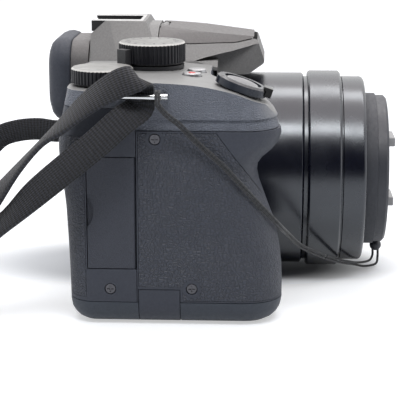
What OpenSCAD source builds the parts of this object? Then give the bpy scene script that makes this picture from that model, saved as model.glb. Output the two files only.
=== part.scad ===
// Bridge camera with a fixed zoom lens, a neck strap and a tethered lens cap, in millimetres.
// Z is up from the base, the lens looks along -Y, the grip is at -X and the tripod socket is on the Z axis.

/* [Body] */
// Width from the grip side to the port side
body_w = 131; // [126:0.5:138]
// Deck above the top of the lens barrel
deck_over = 7.2; // [6:0.1:9]
// Tripod socket to the rear face
back_y = 30.5; // [30:0.25:33]
// Tripod socket to the front face
front_y = 14; // [13:0.25:15]
// Lens axis to the grip side
grip_side = 74; // [73:0.5:78]
// Grip thickness from side to side
grip_w = 24; // [23:0.5:27]
// Tripod socket to the front of the grip
grip_reach = 38; // [36.5:0.25:41]
// Tripod socket to the joint between the front and rear shells
part_y = 8; // [7:0.25:9]
// Height of the base cover
base_h = 7.7; // [7:0.1:8.5]
// Rounding of the bottom edge
base_r = 7; // [4.5:0.25:7]
// Belt line below the deck
belt_drop = 15; // [14:0.25:16.5]
// Height of the recessed belt band
belt_h = 3.6; // [2:0.2:4.4]
// Thickness of the grip and thumb rubber
skin_t = 1; // [0.7:0.1:1.3]

/* [Hump] */
// Height of the hump above the deck
hump_h = 10.6; // [10:0.2:14]
// Width of the hump where it meets the deck
hump_base_w = 48; // [46:0.5:50]
// Width of the hump at the top of the shoe
hump_top_w = 24; // [23.5:0.5:30]
// Tripod socket to the front of the hump
hump_front = 31.8; // [30.5:0.2:34]
// Length of the accessory shoe
shoe_len = 18; // [17:0.25:19]
// Width inside the accessory shoe
shoe_slot_w = 18.7; // [18.5:0.05:19]
// Width of the eyecup
eyecup_w = 40; // [38:0.5:43]
// Depth of the eyecup behind its frame
eyecup_d = 8.2; // [6:0.1:10]

/* [Lens] */
// Base plane to the bottom of the barrel
lens_floor = 2.4; // [2.4:0.1:5]
// Radius of the fixed barrel
barrel_r = 34.2; // [31:0.1:38]
// Socket axis to the front of the fixed barrel
barrel_len = 45.4; // [43:0.2:47]
// Step of the wide ring above the barrel
ring_step = 0.8; // [0.4:0.1:1.4]
// Length of the wide ring
ring_len = 11.6; // [9:0.2:13]
// Step of the front ring below the barrel
front_step = 1.2; // [0.8:0.1:1.6]
// Length of the front ring
front_ring_len = 7.9; // [7:0.1:10]
// Wall of the sliding lens tube outside its filter thread
tube_wall = 1.1; // [0.9:0.05:1.6]
// How far the tube stands out when the lens is drawn in
tube_out = 4.2; // [3:0.1:6]
// Radius of the filter thread
filter_r = 26; // [24.25:0.25:28]
// Thickness of the lens cap
cap_t = 3.8; // [3.2:0.1:5]

/* [Controls] */
// Radius of the mode dial
mode_r = 11; // [10:0.1:11.6]
// Radius of the rear dial
rear_r = 9.8; // [9:0.1:10.2]
// Radius of the shutter button
shutter_r = 5.2; // [4.6:0.1:5.4]
// Radius of the zoom lever ring
lever_r = 8.3; // [7.6:0.1:8.8]
// Forward tilt of the shutter button in degrees
shutter_tilt = 19; // [15:0.5:22]
// Radius of the movie and function buttons
top_button_r = 3; // [2.6:0.1:3.2]
// Radius of the cursor pad
pad_r = 9; // [8:0.1:9.6]

/* [Doors and monitor] */
// Cursor pad to the monitor
mon_side = 8.5; // [4:0.5:14]
// Height of the monitor
mon_h = 48; // [44:0.5:53]
// Thickness of the monitor
mon_t = 6; // [5:0.1:6.4]
// Length of the card door from its hinge
door_w = 14.2; // [13:0.1:15]
// Height of the card door
door_h = 35.7; // [32:0.1:36.5]
// Height of the lower edge of the card door
door_z = 18.8; // [18:0.2:20]

/* [Strap and tether] */
// Width of the strap webbing
strap_w = 9; // [8:0.2:10]
// Thickness of the strap webbing
strap_t = 1.4; // [1:0.1:1.8]
// Pitch between neighbouring turns of the rolled strap
coil_pitch = 4; // [3.6:0.1:4.4]
// Diameter of one tether strand
tether_d = 0.85; // [0.7:0.05:1.2]

/* [Hidden] */
$fn = 64;

// Clearances: running fit, visible seam, gap between moving pieces, seat between pieces that touch.
fit = 0.05;
seam = 0.2;
gap = 0.3;
seat = 0.05;
far = 300;
wall = 2.2;

// Heights of the body, which follow the lens.
lens_z = lens_floor + barrel_r;
deck_h = lens_z + barrel_r + deck_over;
belt_z = deck_h - belt_drop;
hump_top = deck_h + hump_h;
inner_back = back_y - 8.9;

// Plan outline of the body.
x_port = body_w - grip_side;
x_grip = -grip_side;
x_inner = x_grip + grip_w;
port_front_r = 10;
port_back_r = 7;
grip_back_r = 9;
grip_front_r = 12;
grip_inner_r = 11;
throat_r = 8;
corner_steps = 6;

// Shares of the belt height, and how far the grip front draws back there.
grip_rows = [
    [0, 0], [0.21, 0], [0.35, 0.6], [0.51, 2.6], [0.65, 6], [0.76, 8.3], [0.83, 7.6],
    [0.89, 3.4], [0.95, 0.9], [1, 1], [1.05, 1.8], [1.11, 3.8], [1.17, 5], [1.3, 6]
];
// Shares of the belt height, and how far the thumb side of the back swells.
thumb_rows = [[0, -0.3], [0.2, -0.3], [0.6, 0.8], [0.9, 2.9], [1.06, 1.5], [1.2, -0.5], [1.35, -1]];
// Distance forward of the socket axis, and how far the deck has dropped there.
deck_rows = [[-60, 0], [-4, 0], [0, 0.1], [12, 1], [23, 3.4], [32, 7.2], [35, 9.4], [40, 15]];
round_angles = [0, 20, 38, 54, 70, 90];
side_shares = [
    0.2, 0.28, 0.36, 0.44, 0.52, 0.6, 0.66, 0.72, 0.77, 0.81, 0.85, 0.89, 0.93, 0.97, 1.01,
    1.06, 1.12, 1.18, 1.3
];

// Places on the deck.
mode_x = x_grip + 36;
mode_y = 5.5;
rear_x = x_grip + 14;
rear_dial_y = back_y - 10.8;
rear_recess = 2.7;
shutter_x = x_grip + grip_w / 2;
shutter_y = 14 - grip_reach;
movie_x = x_grip + 22;
movie_y = -8.4;
function_x = x_grip + 32;
function_y = -9.5;
button_rise = 0.8;
button_stem_r = 1.2;
belt_d = 0.6;
frame_z = deck_h - 7.4;
frame_t = 2;
roof_z = deck_h - 5.2;
rear_top_z = deck_h - 8;

// Dials.
dial_gap = 1.6;
mode_h = 7;
mode_teeth = 52;
rear_teeth = 48;
rear_h = 5.2;
tooth_d = 0.4;
post_r = 4.8;
shaft_r = 3;
lever_tab_angle = 138;
lever_tab_w = 4;
lever_tab_h = 6.9;
lever_ring_h = 1.2;

// Shutter group, in heights along its own tilted axis.
sleeve_in = shutter_r + 0.3;
sleeve_out = sleeve_in + 0.5;
stem_r = 1.5;
lever_h = 2.9;
post_down = 10.5;
shutter_post_r = 3.6;

// Hump.
hump_rear = back_y - 1.5;
hump_foot = deck_h - 3;
hump_chin = lens_z + barrel_r + 1.4;
hump_lip = -front_y - 1.5;
hump_crown_r = 18;
lid_front = hump_front - 3.4;
lid_rear = 4.9;
lid_z = hump_top - 5.1;
lid_pin_y = 3.6;
lid_pin_z = hump_top - 1.6;
lid_pin_r = 0.8;
lid_knuckle_r = 1.35;
lid_knuckle_w = 10;
bay_w = 22;
shoe_y = hump_rear - shoe_len - seam;
shoe_top = hump_top + 1.7;
shoe_floor = shoe_top - 3.7;
shoe_wall = 1.3;
shoe_lip = 3.1;
shoe_lip_t = 0.9;

// Viewfinder, which sits above the monitor.
mon_z = 5;
eye_w = 20;
eye_h = 13;
frame_w = 37;
frame_low = mon_z + mon_h + 4;
frame_high = hump_top - 5;
frame_back = back_y + 4.9;
eye_z = frame_low + 9;
eyecup_low = frame_low - 1.8;
eyecup_high = hump_top - 4.1;

// Lens, as distances forward of the socket axis.
ring_r = barrel_r + ring_step;
front_ring_r = barrel_r - front_step;
tube_r = filter_r + tube_wall;
collar_r = barrel_r + 1.1;
collar_len = 4;
flange_r = barrel_r + 1.8;
barrel_in = barrel_r - 2.4;
neck_r = barrel_r - 1.3;
ring_start = barrel_len + 1.4;
ring_end = ring_start + ring_len;
neck_end = ring_end + 0.5;
front_start = neck_end + seat;
front_end = front_start + front_ring_len;
tube_front = front_end + tube_out;
tube_rear = 24;
tube_in = filter_r - 1;
flange_u = front_y - wall;
base_u = flange_u - 2.4;
sleeve_end = 52;
group_r = tube_in - 3.8;
motor_r = 5;
motor_x = barrel_r + motor_r + 4.5;
motor_z = base_h + motor_r + 1;
cap_back = tube_front + seat;
cap_front = cap_back + cap_t;
cap_r = filter_r + 0.4;
tab_w = 15.6;
tab_in = 7.5;
tab_out = 23;
tab_ridge = 3.4;
tab_travel = 2;
bead_u = cap_back + 1.7;
bead_r = 2.1;
bead_z = lens_z - cap_r - 2.2;
bead_hole_r = tether_d / 2 + 0.25;

// Doors and monitor.
pad_x = x_grip + 30;
door_t = 2;
knuckle_r = 1;
hinge_pin_r = 0.6;
door_pin_y = part_y + gap + knuckle_r;
card_w = 24;
card_len = 32;
card_t = 2.1;
card_slot_t = 4.2;
card_y = inner_back - 1.75 - card_slot_t;
card_z = door_z + 6;
mon_x = x_port - 7.5;
mon_w = mon_x - pad_x - pad_r - mon_side;
mon_face = back_y - 0.3;
mon_y = mon_face - mon_t / 2;
mon_pin_r = 1.2;
mon_gap = 0.4;
mon_bezel = 4;
mon_pin_z = mon_z + mon_t / 2;
port_y = 0;
port_len = 15;
port_low = 22;
port_h = 33;
flap_front = 5.6;
flap_h = 11.8;
flap_t = 1.6;
flap_low = 0.4;
flap_pin_x = x_grip + 0.77 * base_r;
flap_pin_z = 0.25 * base_r;
bat_w = 10.5;
bat_d = 26;
bat_h = 42;
bat_x = x_grip + grip_w / 2 + 1.2;
bat_y = -20;
bat_door_w = bat_w + 1.2;
bat_door_d = bat_d + 1.6;
bat_hinge_x = bat_x + bat_w / 2 + 1.4;
bat_door_t = 1.9;

// Rear controls.
pad_z = 28;
pad_pin_r = 0.6;
pad_pin_y = back_y - 1.1;
pad_pin_x = pad_r + gap + 1.2;
set_r = 3.4;
play_z = 47;
rear_button_r = 2.6;
wheel_r = 2.9;
wheel_t = 2.2;
wheel_y = back_y + 1.9;
wheel_z = eye_z + 2;
wheel_shaft_r = 1;

// Tripod socket, for a quarter-inch thread.
socket_r = 5.5;
socket_h = 7;
tripod_r = 3.175;
tripod_depth = 5.5;

// Strap bars.
lug_y = 5.35;
lug_z = deck_h - 3.6;
lug_span = 13.4;
lug_r = 0.95;
lug_stand = 4.4;

function unit(v) = v / norm(v);
function through(a, b, c, d, t) =
    0.5 * (2 * b + (c - a) * t + (2 * a - 5 * b + 4 * c - d) * t * t + (3 * b - a - 3 * c + d) * t * t * t);
function row_of(rows, v, i = 0) = (i >= len(rows) - 2 || v < rows[i + 1][0]) ? i : row_of(rows, v, i + 1);

// Value of a smooth curve through rows of [place, value].
function curve_at(rows, v) =
    let (
        i = row_of(rows, v),
        n = len(rows) - 1,
        t = max(0, min(1, (v - rows[i][0]) / (rows[i + 1][0] - rows[i][0])))
    )
    through(rows[max(i - 1, 0)][1], rows[i][1], rows[i + 1][1], rows[min(i + 2, n)][1], t);

// Smooth line through points, with a number of steps between neighbours.
function smooth_line(p, steps) =
    let (n = len(p) - 1)
    concat(
        [for (i = [0:n - 1]) for (k = [0:steps - 1])
            through(p[max(i - 1, 0)], p[i], p[i + 1], p[min(i + 2, n)], k / steps)],
        [p[n]]
    );

// Arc that replaces corner q between neighbours p and s.
function corner(p, q, s, r, n) =
    let (
        u = unit(p - q),
        v = unit(s - q),
        half = acos(max(-1, min(1, u * v))) / 2,
        c = q + unit(u + v) * r / sin(half),
        a = q + u * r / tan(half) - c,
        b = q + v * r / tan(half) - c,
        a0 = atan2(a[1], a[0]),
        turn = (atan2(b[1], b[0]) - a0 + 540) % 360 - 180
    )
    [for (i = [0:n]) c + r * [cos(a0 + turn * i / n), sin(a0 + turn * i / n)]];

function rounded(p, radii, n) =
    let (m = len(p))
    [for (i = [0:m - 1]) each corner(p[(i + m - 1) % m], p[i], p[(i + 1) % m], radii[i], n)];

function box_outline(w, h, r, n) =
    rounded([[-w / 2, -h / 2], [w / 2, -h / 2], [w / 2, h / 2], [-w / 2, h / 2]], [r, r, r, r], n);

function deck_z(y) = deck_h - curve_at(deck_rows, -y);
function edge_in(z) = z >= base_r ? 0 : base_r - sqrt(base_r * base_r - (base_r - z) * (base_r - z));

// Plan outline of the body at one height, drawn in by an inset.
function plan(z, inset) =
    let (
        cut = inset + edge_in(z),
        share = z / belt_z,
        xp = x_port - cut,
        xg = x_grip + cut,
        xi = x_inner - cut,
        yb = back_y - cut,
        yt = back_y + curve_at(thumb_rows, share) - cut,
        yf = -front_y + cut,
        yg = curve_at(grip_rows, share) - grip_reach + cut,
        deep = yf - yg
    )
    rounded(
        [[xg, yt], [xg, yg], [xi, yg], [xi, yf], [xp, yf], [xp, yb]],
        [
            max(0.6, grip_back_r - cut), grip_front_r - cut, min(grip_inner_r - cut, 0.55 * deep),
            min(throat_r, 0.4 * deep), port_front_r - cut, max(0.6, port_back_r - cut)
        ],
        corner_steps
    );

body_levels = concat([for (a = round_angles) base_r * (1 - cos(a))], [for (s = side_shares) s * belt_z]);

// Solid skinned over rings of points that run counter-clockwise about the way they advance.
// The first point of a ring sees all the others, so the ends close as fans.
module loft(rings) {
    n = len(rings[0]);
    m = len(rings);
    sides = [
        for (i = [0:m - 2]) for (j = [0:n - 1])
            let (a = i * n + j, b = i * n + (j + 1) % n)
            each [[a, a + n, b], [b, a + n, b + n]]
    ];
    last = (m - 1) * n;
    ends = [for (j = [1:n - 2]) each [[0, j, j + 1], [last, last + j + 1, last + j]]];
    polyhedron([for (r = rings) each r], concat(sides, ends));
}

// Block between two corners.
module block(a, b) {
    translate(a)
        cube(b - a);
}

// Outline of y and z, extruded from x0 to x1.
module across(x0, x1, outline) {
    translate([x0, 0, 0])
        rotate([90, 0, 90])
            linear_extrude(x1 - x0)
                polygon(outline);
}

// Outline of x and z, extruded from y0 to y1.
module along(y0, y1, outline) {
    translate([0, y1, 0])
        rotate([90, 0, 0])
            linear_extrude(y1 - y0)
                polygon(outline);
}

// Turned solid on the lens axis, with an outline of radius and distance forward.
module lens_turn(outline) {
    translate([0, 0, lens_z])
        rotate([90, 0, 0])
            rotate_extrude($fn = 96)
                polygon(outline);
}

// Round rod from y0 to y1.
module rod_y(x, z, r, y0, y1) {
    translate([x, y1, z])
        rotate([90, 0, 0])
            cylinder(r = r, h = y1 - y0);
}

// Round rod from x0 to x1.
module rod_x(y, z, r, x0, x1) {
    translate([x0, y, z])
        rotate([0, 90, 0])
            cylinder(r = r, h = x1 - x0);
}

// Sides and base of the body, drawn in by an inset.
module body_loft(inset) {
    loft([for (z = body_levels) [for (p = plan(z, inset)) [p[0], p[1], z]]]);
}

// Whole outside of the body with its deck, drawn in by an inset.
module body_form(inset) {
    intersection() {
        body_loft(inset);
        across(-far, far, concat(
            [[-far, -far], [far, -far], [far, deck_h / 2], [back_y + 8, deck_h / 2]],
            corner([back_y + 8, deck_h / 2], [back_y + 0.5, deck_h], [0, deck_h], 6, 5),
            [for (u = [-4:3:38]) [-u, deck_z(-u)]],
            [[-far, deck_h - 20]]
        ));
    }
}

// Room inside the shells.
module cavity() {
    front = -front_y + wall;
    low_z = frame_low - 3;
    block([x_grip + 3, front, base_h], [x_port - 8, inner_back, low_z]);
    block([x_port - 8.1, front + 5, base_h], [x_port - 3, inner_back, low_z]);
    block([x_grip + 3, front, low_z - 0.1], [x_port - 8, back_y - 3.5, roof_z]);
    block([x_port - 8.1, front + 5, low_z - 0.1], [x_port - 3, back_y - 3.5, roof_z]);
    block([x_grip + 6, front + 3, wall], [x_port - 8, inner_back - 1, base_h + 0.1]);
    block([x_grip + 3, -front_y - 7, base_h], [x_inner - 3, 0, deck_h - 8]);
    block([x_grip + 5.5, 13 - grip_reach, base_h], [x_inner - 5.5, -front_y - 6.9, belt_z - 2]);
}

// Round hole on the lens axis through the front of the body.
module lens_hole(r) {
    rod_y(0, lens_z, r, -front_y - 30, -front_y + wall + 1);
}

// Room for the lens flange above the floor of the base.
module lens_seat() {
    intersection() {
        rod_y(0, lens_z, flange_r + seam, -flange_u - seam, 5 - base_u);
        block([-far, -far, wall], [far, far, far]);
    }
}

// Region of the side view that the grip rubber covers.
module grip_zone(inset) {
    zone = [
        [part_y - 0.6 - inset, base_h + 0.6 + inset],
        [part_y - 0.6 - inset, belt_z - 0.6 - inset],
        [-17 + inset, belt_z - 0.6 - inset],
        [-24 + inset, 0.84 * belt_z - inset],
        [-31 + inset, 0.67 * belt_z - inset],
        [-45, 0.5 * belt_z - inset],
        [-45, base_h + 0.6 + inset]
    ];
    difference() {
        across(-far, x_inner + 1, zone);
        block([x_inner - 10 + inset, -front_y - 10 - inset, -1], [far, far, far]);
        screw_wells(1.2);
        flap_space(1);
    }
}

// Region of the thumb rubber at the rear corner of the grip.
module thumb_zone(inset) {
    difference() {
        block(
            [-far, door_pin_y + door_w + 0.8 + inset, base_h + 1.5 + inset],
            [x_grip + 13 - inset, far, belt_z - 2 - inset]
        );
        screw_wells(1.2);
    }
}

// Layer of the body surface inside a zone.
module surface_layer(t) {
    difference() {
        intersection() {
            body_loft(0);
            children();
        }
        body_loft(t);
    }
}

// Room that a layer takes out of a shell.
module layer_space(t) {
    difference() {
        children();
        body_loft(t + seat);
    }
}

// Wells for the side screws, as [y, z].
side_screws = [[2.1, belt_z - 2.6], [16.5, 12], [-9.4, 12.2]];
screw_r = 1.6;
screw_depth = 1.8;
module screw_wells(extra) {
    for (s = side_screws)
        rod_x(s[0], s[1], screw_r + 0.25 + extra, x_grip - 1, x_grip + screw_depth);
}

base_screws = [[x_port - 12, 16], [x_port - 12, -4], [x_grip + 36, 20]];
module base_wells() {
    for (s = base_screws)
        translate([s[0], s[1], -1])
            cylinder(r = screw_r + 0.25, h = 1 + screw_depth);
}

// Space taken by the cable flap at the bottom of the grip side.
module flap_space(extra) {
    block(
        [-far, -flap_front - extra, -1],
        [flap_pin_x + knuckle_r + 0.5 + extra, part_y - 0.6 + extra, flap_h + extra]
    );
}

// Recess for the monitor, with holes for its hinge pins.
module monitor_space() {
    x0 = mon_x - mon_w - mon_gap;
    x1 = mon_x + mon_gap;
    block([x0, mon_face - mon_t - mon_gap, mon_pin_z], [x1, far, mon_z + mon_h + mon_gap]);
    block([x0, mon_y, mon_z - mon_gap], [x1, far, mon_pin_z + 0.1]);
    rod_x(mon_y, mon_pin_z, mon_t / 2 + mon_gap, x0, x1);
    rod_x(mon_y, mon_pin_z, mon_pin_r + fit, x0 - 2.4, x1 + 2.4);
}

// Space for the viewfinder frame on the back.
module eye_space() {
    block([-frame_w / 2 - seam, hump_rear + 0.1, frame_low - seam], [frame_w / 2 + seam, far, far]);
    along(0, far, [for (p = box_outline(eye_w + 2, eye_h + 2, 3, 5)) p + [0, eye_z]]);
    rod_x(wheel_y, wheel_z, wheel_r + gap, 0, frame_w / 2 + seam + wheel_t + gap);
}

// Tilted frame of the shutter group, with the deck surface at height 0.
module shutter_frame() {
    translate([shutter_x, shutter_y, deck_z(shutter_y)])
        rotate([shutter_tilt, 0, 0])
            children();
}

// Post under the shutter button, grown by a margin.
module shutter_post(margin) {
    shutter_frame()
        translate([0, 0, -post_down - 4 - margin])
            cylinder(r = shutter_post_r + margin, h = post_down + 1 + margin);
}

// Holes for the strap bars.
module lug_holes() {
    for (x = [x_grip - 1, x_port - 5], y = [-1, 1])
        rod_x(lug_y + y * lug_span / 2, lug_z, lug_r + fit, x, x + 6);
}

// Pocket behind the card door.
module door_space() {
    block(
        [-far, part_y, door_z - gap],
        [x_grip + door_t + gap, door_pin_y + door_w + gap, door_z + door_h + gap]
    );
    rod_z(x_grip + knuckle_r, door_pin_y, hinge_pin_r + fit, door_z - 2.5, door_z + door_h + 2.5);
    block(
        [x_grip, card_y - gap, card_z - 1 - gap],
        [x_grip + 10, card_y + card_slot_t + gap, card_z + card_w + 1 + gap]
    );
}

// Pocket behind the port door.
module port_space() {
    block(
        [x_port - door_t - gap, port_y - gap, port_low - gap],
        [far, port_y + port_len + gap, port_low + port_h + gap]
    );
    rod_z(x_port - knuckle_r, port_y + knuckle_r, hinge_pin_r + fit, port_low - 2.5, port_low + port_h + 2.5);
    block([x_port - 8, port_y + 3.5, port_low + 3], [x_port, port_y + port_len - 2.5, port_low + port_h - 3]);
}

// Round rod from z0 to z1.
module rod_z(x, y, r, z0, z1) {
    translate([x, y, z0])
        cylinder(r = r, h = z1 - z0);
}

module front_shell() {
    color("#3b3e44")
        difference() {
            union() {
                intersection() {
                    body_loft(0);
                    block([-far, -far, base_h + seam / 2], [far, part_y - seam / 2, belt_z - seam / 2]);
                }
                rod_y(0, lens_z, collar_r, -front_y - collar_len, -front_y + wall - 0.3);
            }
            layer_space(skin_t)
                grip_zone(-seam / 2);
            cavity();
            lens_hole(barrel_r + seam);
            screw_wells(0);
            flap_space(seam);
            port_space();
            shutter_post(gap);
        }
}

module rear_shell() {
    color("#3b3e44")
        difference() {
            intersection() {
                body_loft(0);
                block([-far, part_y + seam / 2, base_h + seam / 2], [far, far, rear_top_z - seam / 2]);
            }
            layer_space(skin_t)
                thumb_zone(-seam / 2);
            cavity();
            eye_space();
            monitor_space();
            door_space();
            port_space();
            screw_wells(0);
            lug_holes();
            rod_y(pad_x, pad_z, pad_r + gap, back_y - 2.8, far);
            rod_x(pad_pin_y, pad_z, pad_pin_r + fit, pad_x - pad_pin_x - gap, pad_x + pad_pin_x + gap);
            rod_y(pad_x, pad_z, stem_r + fit, inner_back - 1, far);
            rod_y(pad_x, play_z, rear_button_r + gap, back_y - 2.2, far);
            rod_y(pad_x, play_z, stem_r + fit, inner_back - 1, far);
        }
}

module top_cover() {
    color("#56595f")
        difference() {
            union() {
                intersection() {
                    body_form(0);
                    block([-far, -far, belt_z + belt_h], [far, part_y + seam / 2, far]);
                }
                intersection() {
                    body_loft(belt_d);
                    block([-far, -far, belt_z + seam / 2], [far, part_y + seam / 2, belt_z + belt_h + 0.1]);
                }
                intersection() {
                    body_form(0);
                    block([-far, part_y, rear_top_z + seam / 2], [far, far, far]);
                }
            }
            cavity();
            lens_hole(collar_r + seam);
            eye_space();
            lug_holes();
            block(
                [-hump_base_w / 2 - seam, -far, hump_foot - seat],
                [hump_base_w / 2 + seam, hump_rear + 0.2, far]
            );
            rod_z(mode_x, mode_y, post_r + seam, frame_z, far);
            rod_z(rear_x, rear_dial_y, rear_r + 0.8, deck_h - rear_recess, far);
            block([-far, rear_dial_y, deck_h - rear_recess], [rear_x, far, far]);
            rod_z(rear_x, rear_dial_y, shaft_r + 1 + seam, frame_z, far);
            rod_z(movie_x, movie_y, top_button_r + gap, frame_z + frame_t, far);
            rod_z(function_x, function_y, top_button_r + gap, frame_z + frame_t, far);
            shutter_frame()
                translate([0, 0, -post_down])
                    cylinder(r = sleeve_out + seam, h = post_down + 10);
            shutter_post(gap);
        }
}

module base_cover() {
    color("#34373c")
        difference() {
            intersection() {
                body_loft(0);
                block([-far, -far, -1], [far, far, base_h - seam / 2]);
            }
            cavity();
            lens_hole(collar_r + seam);
            lens_seat();
            flap_space(seam);
            rod_y(flap_pin_x, flap_pin_z, hinge_pin_r + fit, -flap_front - 2, part_y + 1.4);
            monitor_space();
            base_wells();
            rod_z(0, 0, socket_r + seat, -1, 20);
            battery_door_space();
        }
}

// Opening for the battery and its door.
module battery_door_space() {
    block(
        [bat_hinge_x - bat_door_w - gap - knuckle_r, bat_y - 0.8 - gap, -1],
        [bat_hinge_x, bat_y - 0.8 + bat_door_d + gap, bat_door_t + 0.2]
    );
    block([bat_x - bat_w / 2 - gap, bat_y - gap, 0], [bat_x + bat_w / 2 + gap, bat_y + bat_d + gap, 20]);
    rod_y(bat_hinge_x, knuckle_r, knuckle_r + gap, bat_y - 0.8 - gap, bat_y - 0.8 + bat_door_d + gap);
    rod_y(bat_hinge_x, knuckle_r, hinge_pin_r + fit, bat_y - 2.8, bat_y + bat_door_d + 1.6);
}

module grip_skin() {
    color("#2e3034")
        surface_layer(skin_t)
            grip_zone(0);
}

module thumb_skin() {
    color("#2e3034")
        surface_layer(skin_t)
            thumb_zone(0);
}

// Outside of the hump before the flash lid is parted from it.
module hump_form() {
    flank = hump_base_w / 2;
    slope_y = hump_rear - 5.1;
    difference() {
        union() {
            intersection() {
                across(-far, far, rounded(
                    [
                        [slope_y - 4, hump_foot], [slope_y - 4, hump_top],
                        [5, hump_top], [3 - hump_front, hump_top - 3.6],
                        [-hump_front, hump_chin + 4], [-26, hump_chin],
                        [hump_lip, hump_chin], [hump_lip, hump_foot]
                    ],
                    [0.2, 0.2, 8, 2, 1.5, 1, 0.2, 0.2],
                    4
                ));
                hump_section(hump_top, hump_crown_r);
            }
            intersection() {
                across(-far, far, [
                    [hump_rear, hump_foot], [hump_rear, shoe_top - 4.6],
                    [slope_y, shoe_top], [shoe_y - 1, shoe_top],
                    [shoe_y - 3.5, hump_top - 3], [shoe_y - 3.5, hump_foot]
                ]);
                hump_section(shoe_top, 0.6);
            }
        }
        for (s = [0, 1])
            mirror([s, 0, 0]) {
                hump_plane([flank, -8, deck_h], [1, -0.3, 1.1]);
                hump_plane([hump_top_w / 2 + 0.4, slope_y - 0.6, shoe_top - 1.3], [0.73, 0.43, 0.54]);
                undercut();
            }
    }
}

// Cross-section of the hump: straight flanks up to a height, with a rounding at the edge there.
module hump_section(top, edge_r) {
    flank = hump_base_w / 2;
    crown = flank - (flank - hump_top_w / 2) * (top - deck_h) / (shoe_top - deck_h);
    along(-far, far, rounded(
        [[flank, -far], [flank, deck_h], [crown, top], [-crown, top], [-flank, deck_h], [-flank, -far]],
        [0.2, 2, edge_r, edge_r, 2, 0.2],
        7
    ));
}

// All that lies outside a plane through a point, given the plane's outward direction.
module hump_plane(at, out) {
    n = unit(out);
    translate(at)
        rotate([0, acos(n[2]), atan2(n[1], n[0])])
            translate([-far / 2, -far / 2, 0])
                cube(far);
}

// Hollow in the flank of the hump, under a crease that rises to the front.
module undercut() {
    rear = hump_base_w / 2 - 7.5;
    nose = bay_w / 2 + 1.3;
    intersection() {
        across(0, far, [
            [-7.6, deck_h], [-8.6, deck_h + 0.4], [-11.8, deck_h + 1.2],
            [-16.3, deck_h + 2.1], [-20.8, deck_h + 2.9],
            [-29.4, deck_h + 4.9], [-hump_front - 2, deck_h + 5.8], [-far, deck_h + 5.8], [-far, 0],
            [hump_lip - 0.1, 0], [hump_lip - 0.1, deck_h]
        ]);
        linear_extrude(far)
            polygon([[rear, 0], [rear, -8], [nose, -hump_front + 2], [nose, -far], [far, -far], [far, 0]]);
    }
}

// Side view of the flash lid, grown by a margin.
module lid_prism(margin) {
    across(-far, far, rounded(
        [
            [lid_rear + margin, lid_z - margin], [lid_rear + margin, far], [-lid_front - margin, far],
            [-lid_front - margin, lid_z + 1.2 - margin], [-lid_front + 7, lid_z - margin]
        ],
        [0.3, 0.3, 0.3, 2, 6],
        4
    ));
}

module hump_housing() {
    color("#5d6066")
        union() {
            difference() {
                hump_form();
                lid_prism(gap);
                block([-bay_w / 2, -lid_front - 0.6, hump_foot + 2], [bay_w / 2, lid_rear + gap, far]);
                shoe_pocket();
                block([-eye_w / 2, 8, hump_foot - 1], [eye_w / 2, hump_rear - 2, shoe_floor - 3]);
            }
            rod_x(lid_pin_y, lid_pin_z, lid_knuckle_r, -lid_knuckle_w / 2, lid_knuckle_w / 2);
            block(
                [-lid_knuckle_w / 2, lid_pin_y, lid_pin_z - 0.9],
                [lid_knuckle_w / 2, lid_rear + gap + 0.5, lid_pin_z + 0.9]
            );
            rod_x(lid_pin_y, lid_pin_z, lid_pin_r, -bay_w / 2, bay_w / 2);
        }
}

module shoe_pocket() {
    half = shoe_slot_w / 2 + shoe_wall + seat;
    block([-half, shoe_y - seat, shoe_floor - seat], [half, far, far]);
}

module hot_shoe() {
    half = shoe_slot_w / 2;
    color("#c4c6c8")
        difference() {
            block([-half - shoe_wall, shoe_y, shoe_floor], [half + shoe_wall, shoe_y + shoe_len, shoe_top]);
            block([-half, shoe_y + 1.2, shoe_floor + 0.8], [half, far, shoe_top - shoe_lip_t]);
            block([-half + shoe_lip, shoe_y + 1.2, shoe_floor + 0.7], [half - shoe_lip, far, far]);
        }
}

module eyepiece_frame() {
    mid = (frame_low + frame_high) / 2;
    color("#4a4d53")
        difference() {
            along(hump_rear + 0.3, frame_back, [
                for (p = box_outline(frame_w, frame_high - frame_low, 9, 5)) p + [0, mid]
            ]);
            along(0, far, [for (p = box_outline(eye_w, eye_h, 2.5, 5)) p + [0, eye_z]]);
            rod_x(wheel_y, wheel_z, wheel_shaft_r + fit, frame_w / 2 - 4, far);
        }
}

module eyecup() {
    mid = (eyecup_low + eyecup_high) / 2;
    tall = eyecup_high - eyecup_low;
    drop = eye_z + 1 - mid;
    outer = [
        for (s = [[0, 0.96], [0.3, 1], [0.5, 0.99], [0.72, 0.94], [0.88, 0.85], [1, 0.7]])
            [for (p = box_outline(eyecup_w * s[1], tall * s[1], 9 * s[1], 6))
                [p[0], frame_back + seat + s[0] * (eyecup_d - seat), p[1] + mid]]
    ];
    inner = [
        for (s = [[-0.1, 0.86], [0.25, 0.86], [0.6, 0.88], [1, 0.98], [1.1, 1]])
            [for (p = box_outline((eye_w + 4) * s[1], (eye_h + 4) * s[1], 5 * s[1], 6))
                [p[0], frame_back + s[0] * eyecup_d, p[1] + mid + (1 - s[0]) * drop]]
    ];
    color("#1f2023")
        difference() {
            loft([for (r = outer) [for (i = [len(r) - 1:-1:0]) r[i]]]);
            loft([for (r = inner) [for (i = [len(r) - 1:-1:0]) r[i]]]);
        }
}

module eyepiece_glass() {
    color("#8fa3b0")
        along(back_y + 0.1, back_y + 1.7, [
            for (p = box_outline(eye_w - 2 * fit, eye_h - 2 * fit, 2.4, 5)) p + [0, eye_z]
        ]);
}

module evf_module() {
    color("#2a2d33")
        block([-eye_w / 2 - 1, 4, eye_z - eye_h / 2], [eye_w / 2 + 1, back_y - 3.6, roof_z - gap]);
}

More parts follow.
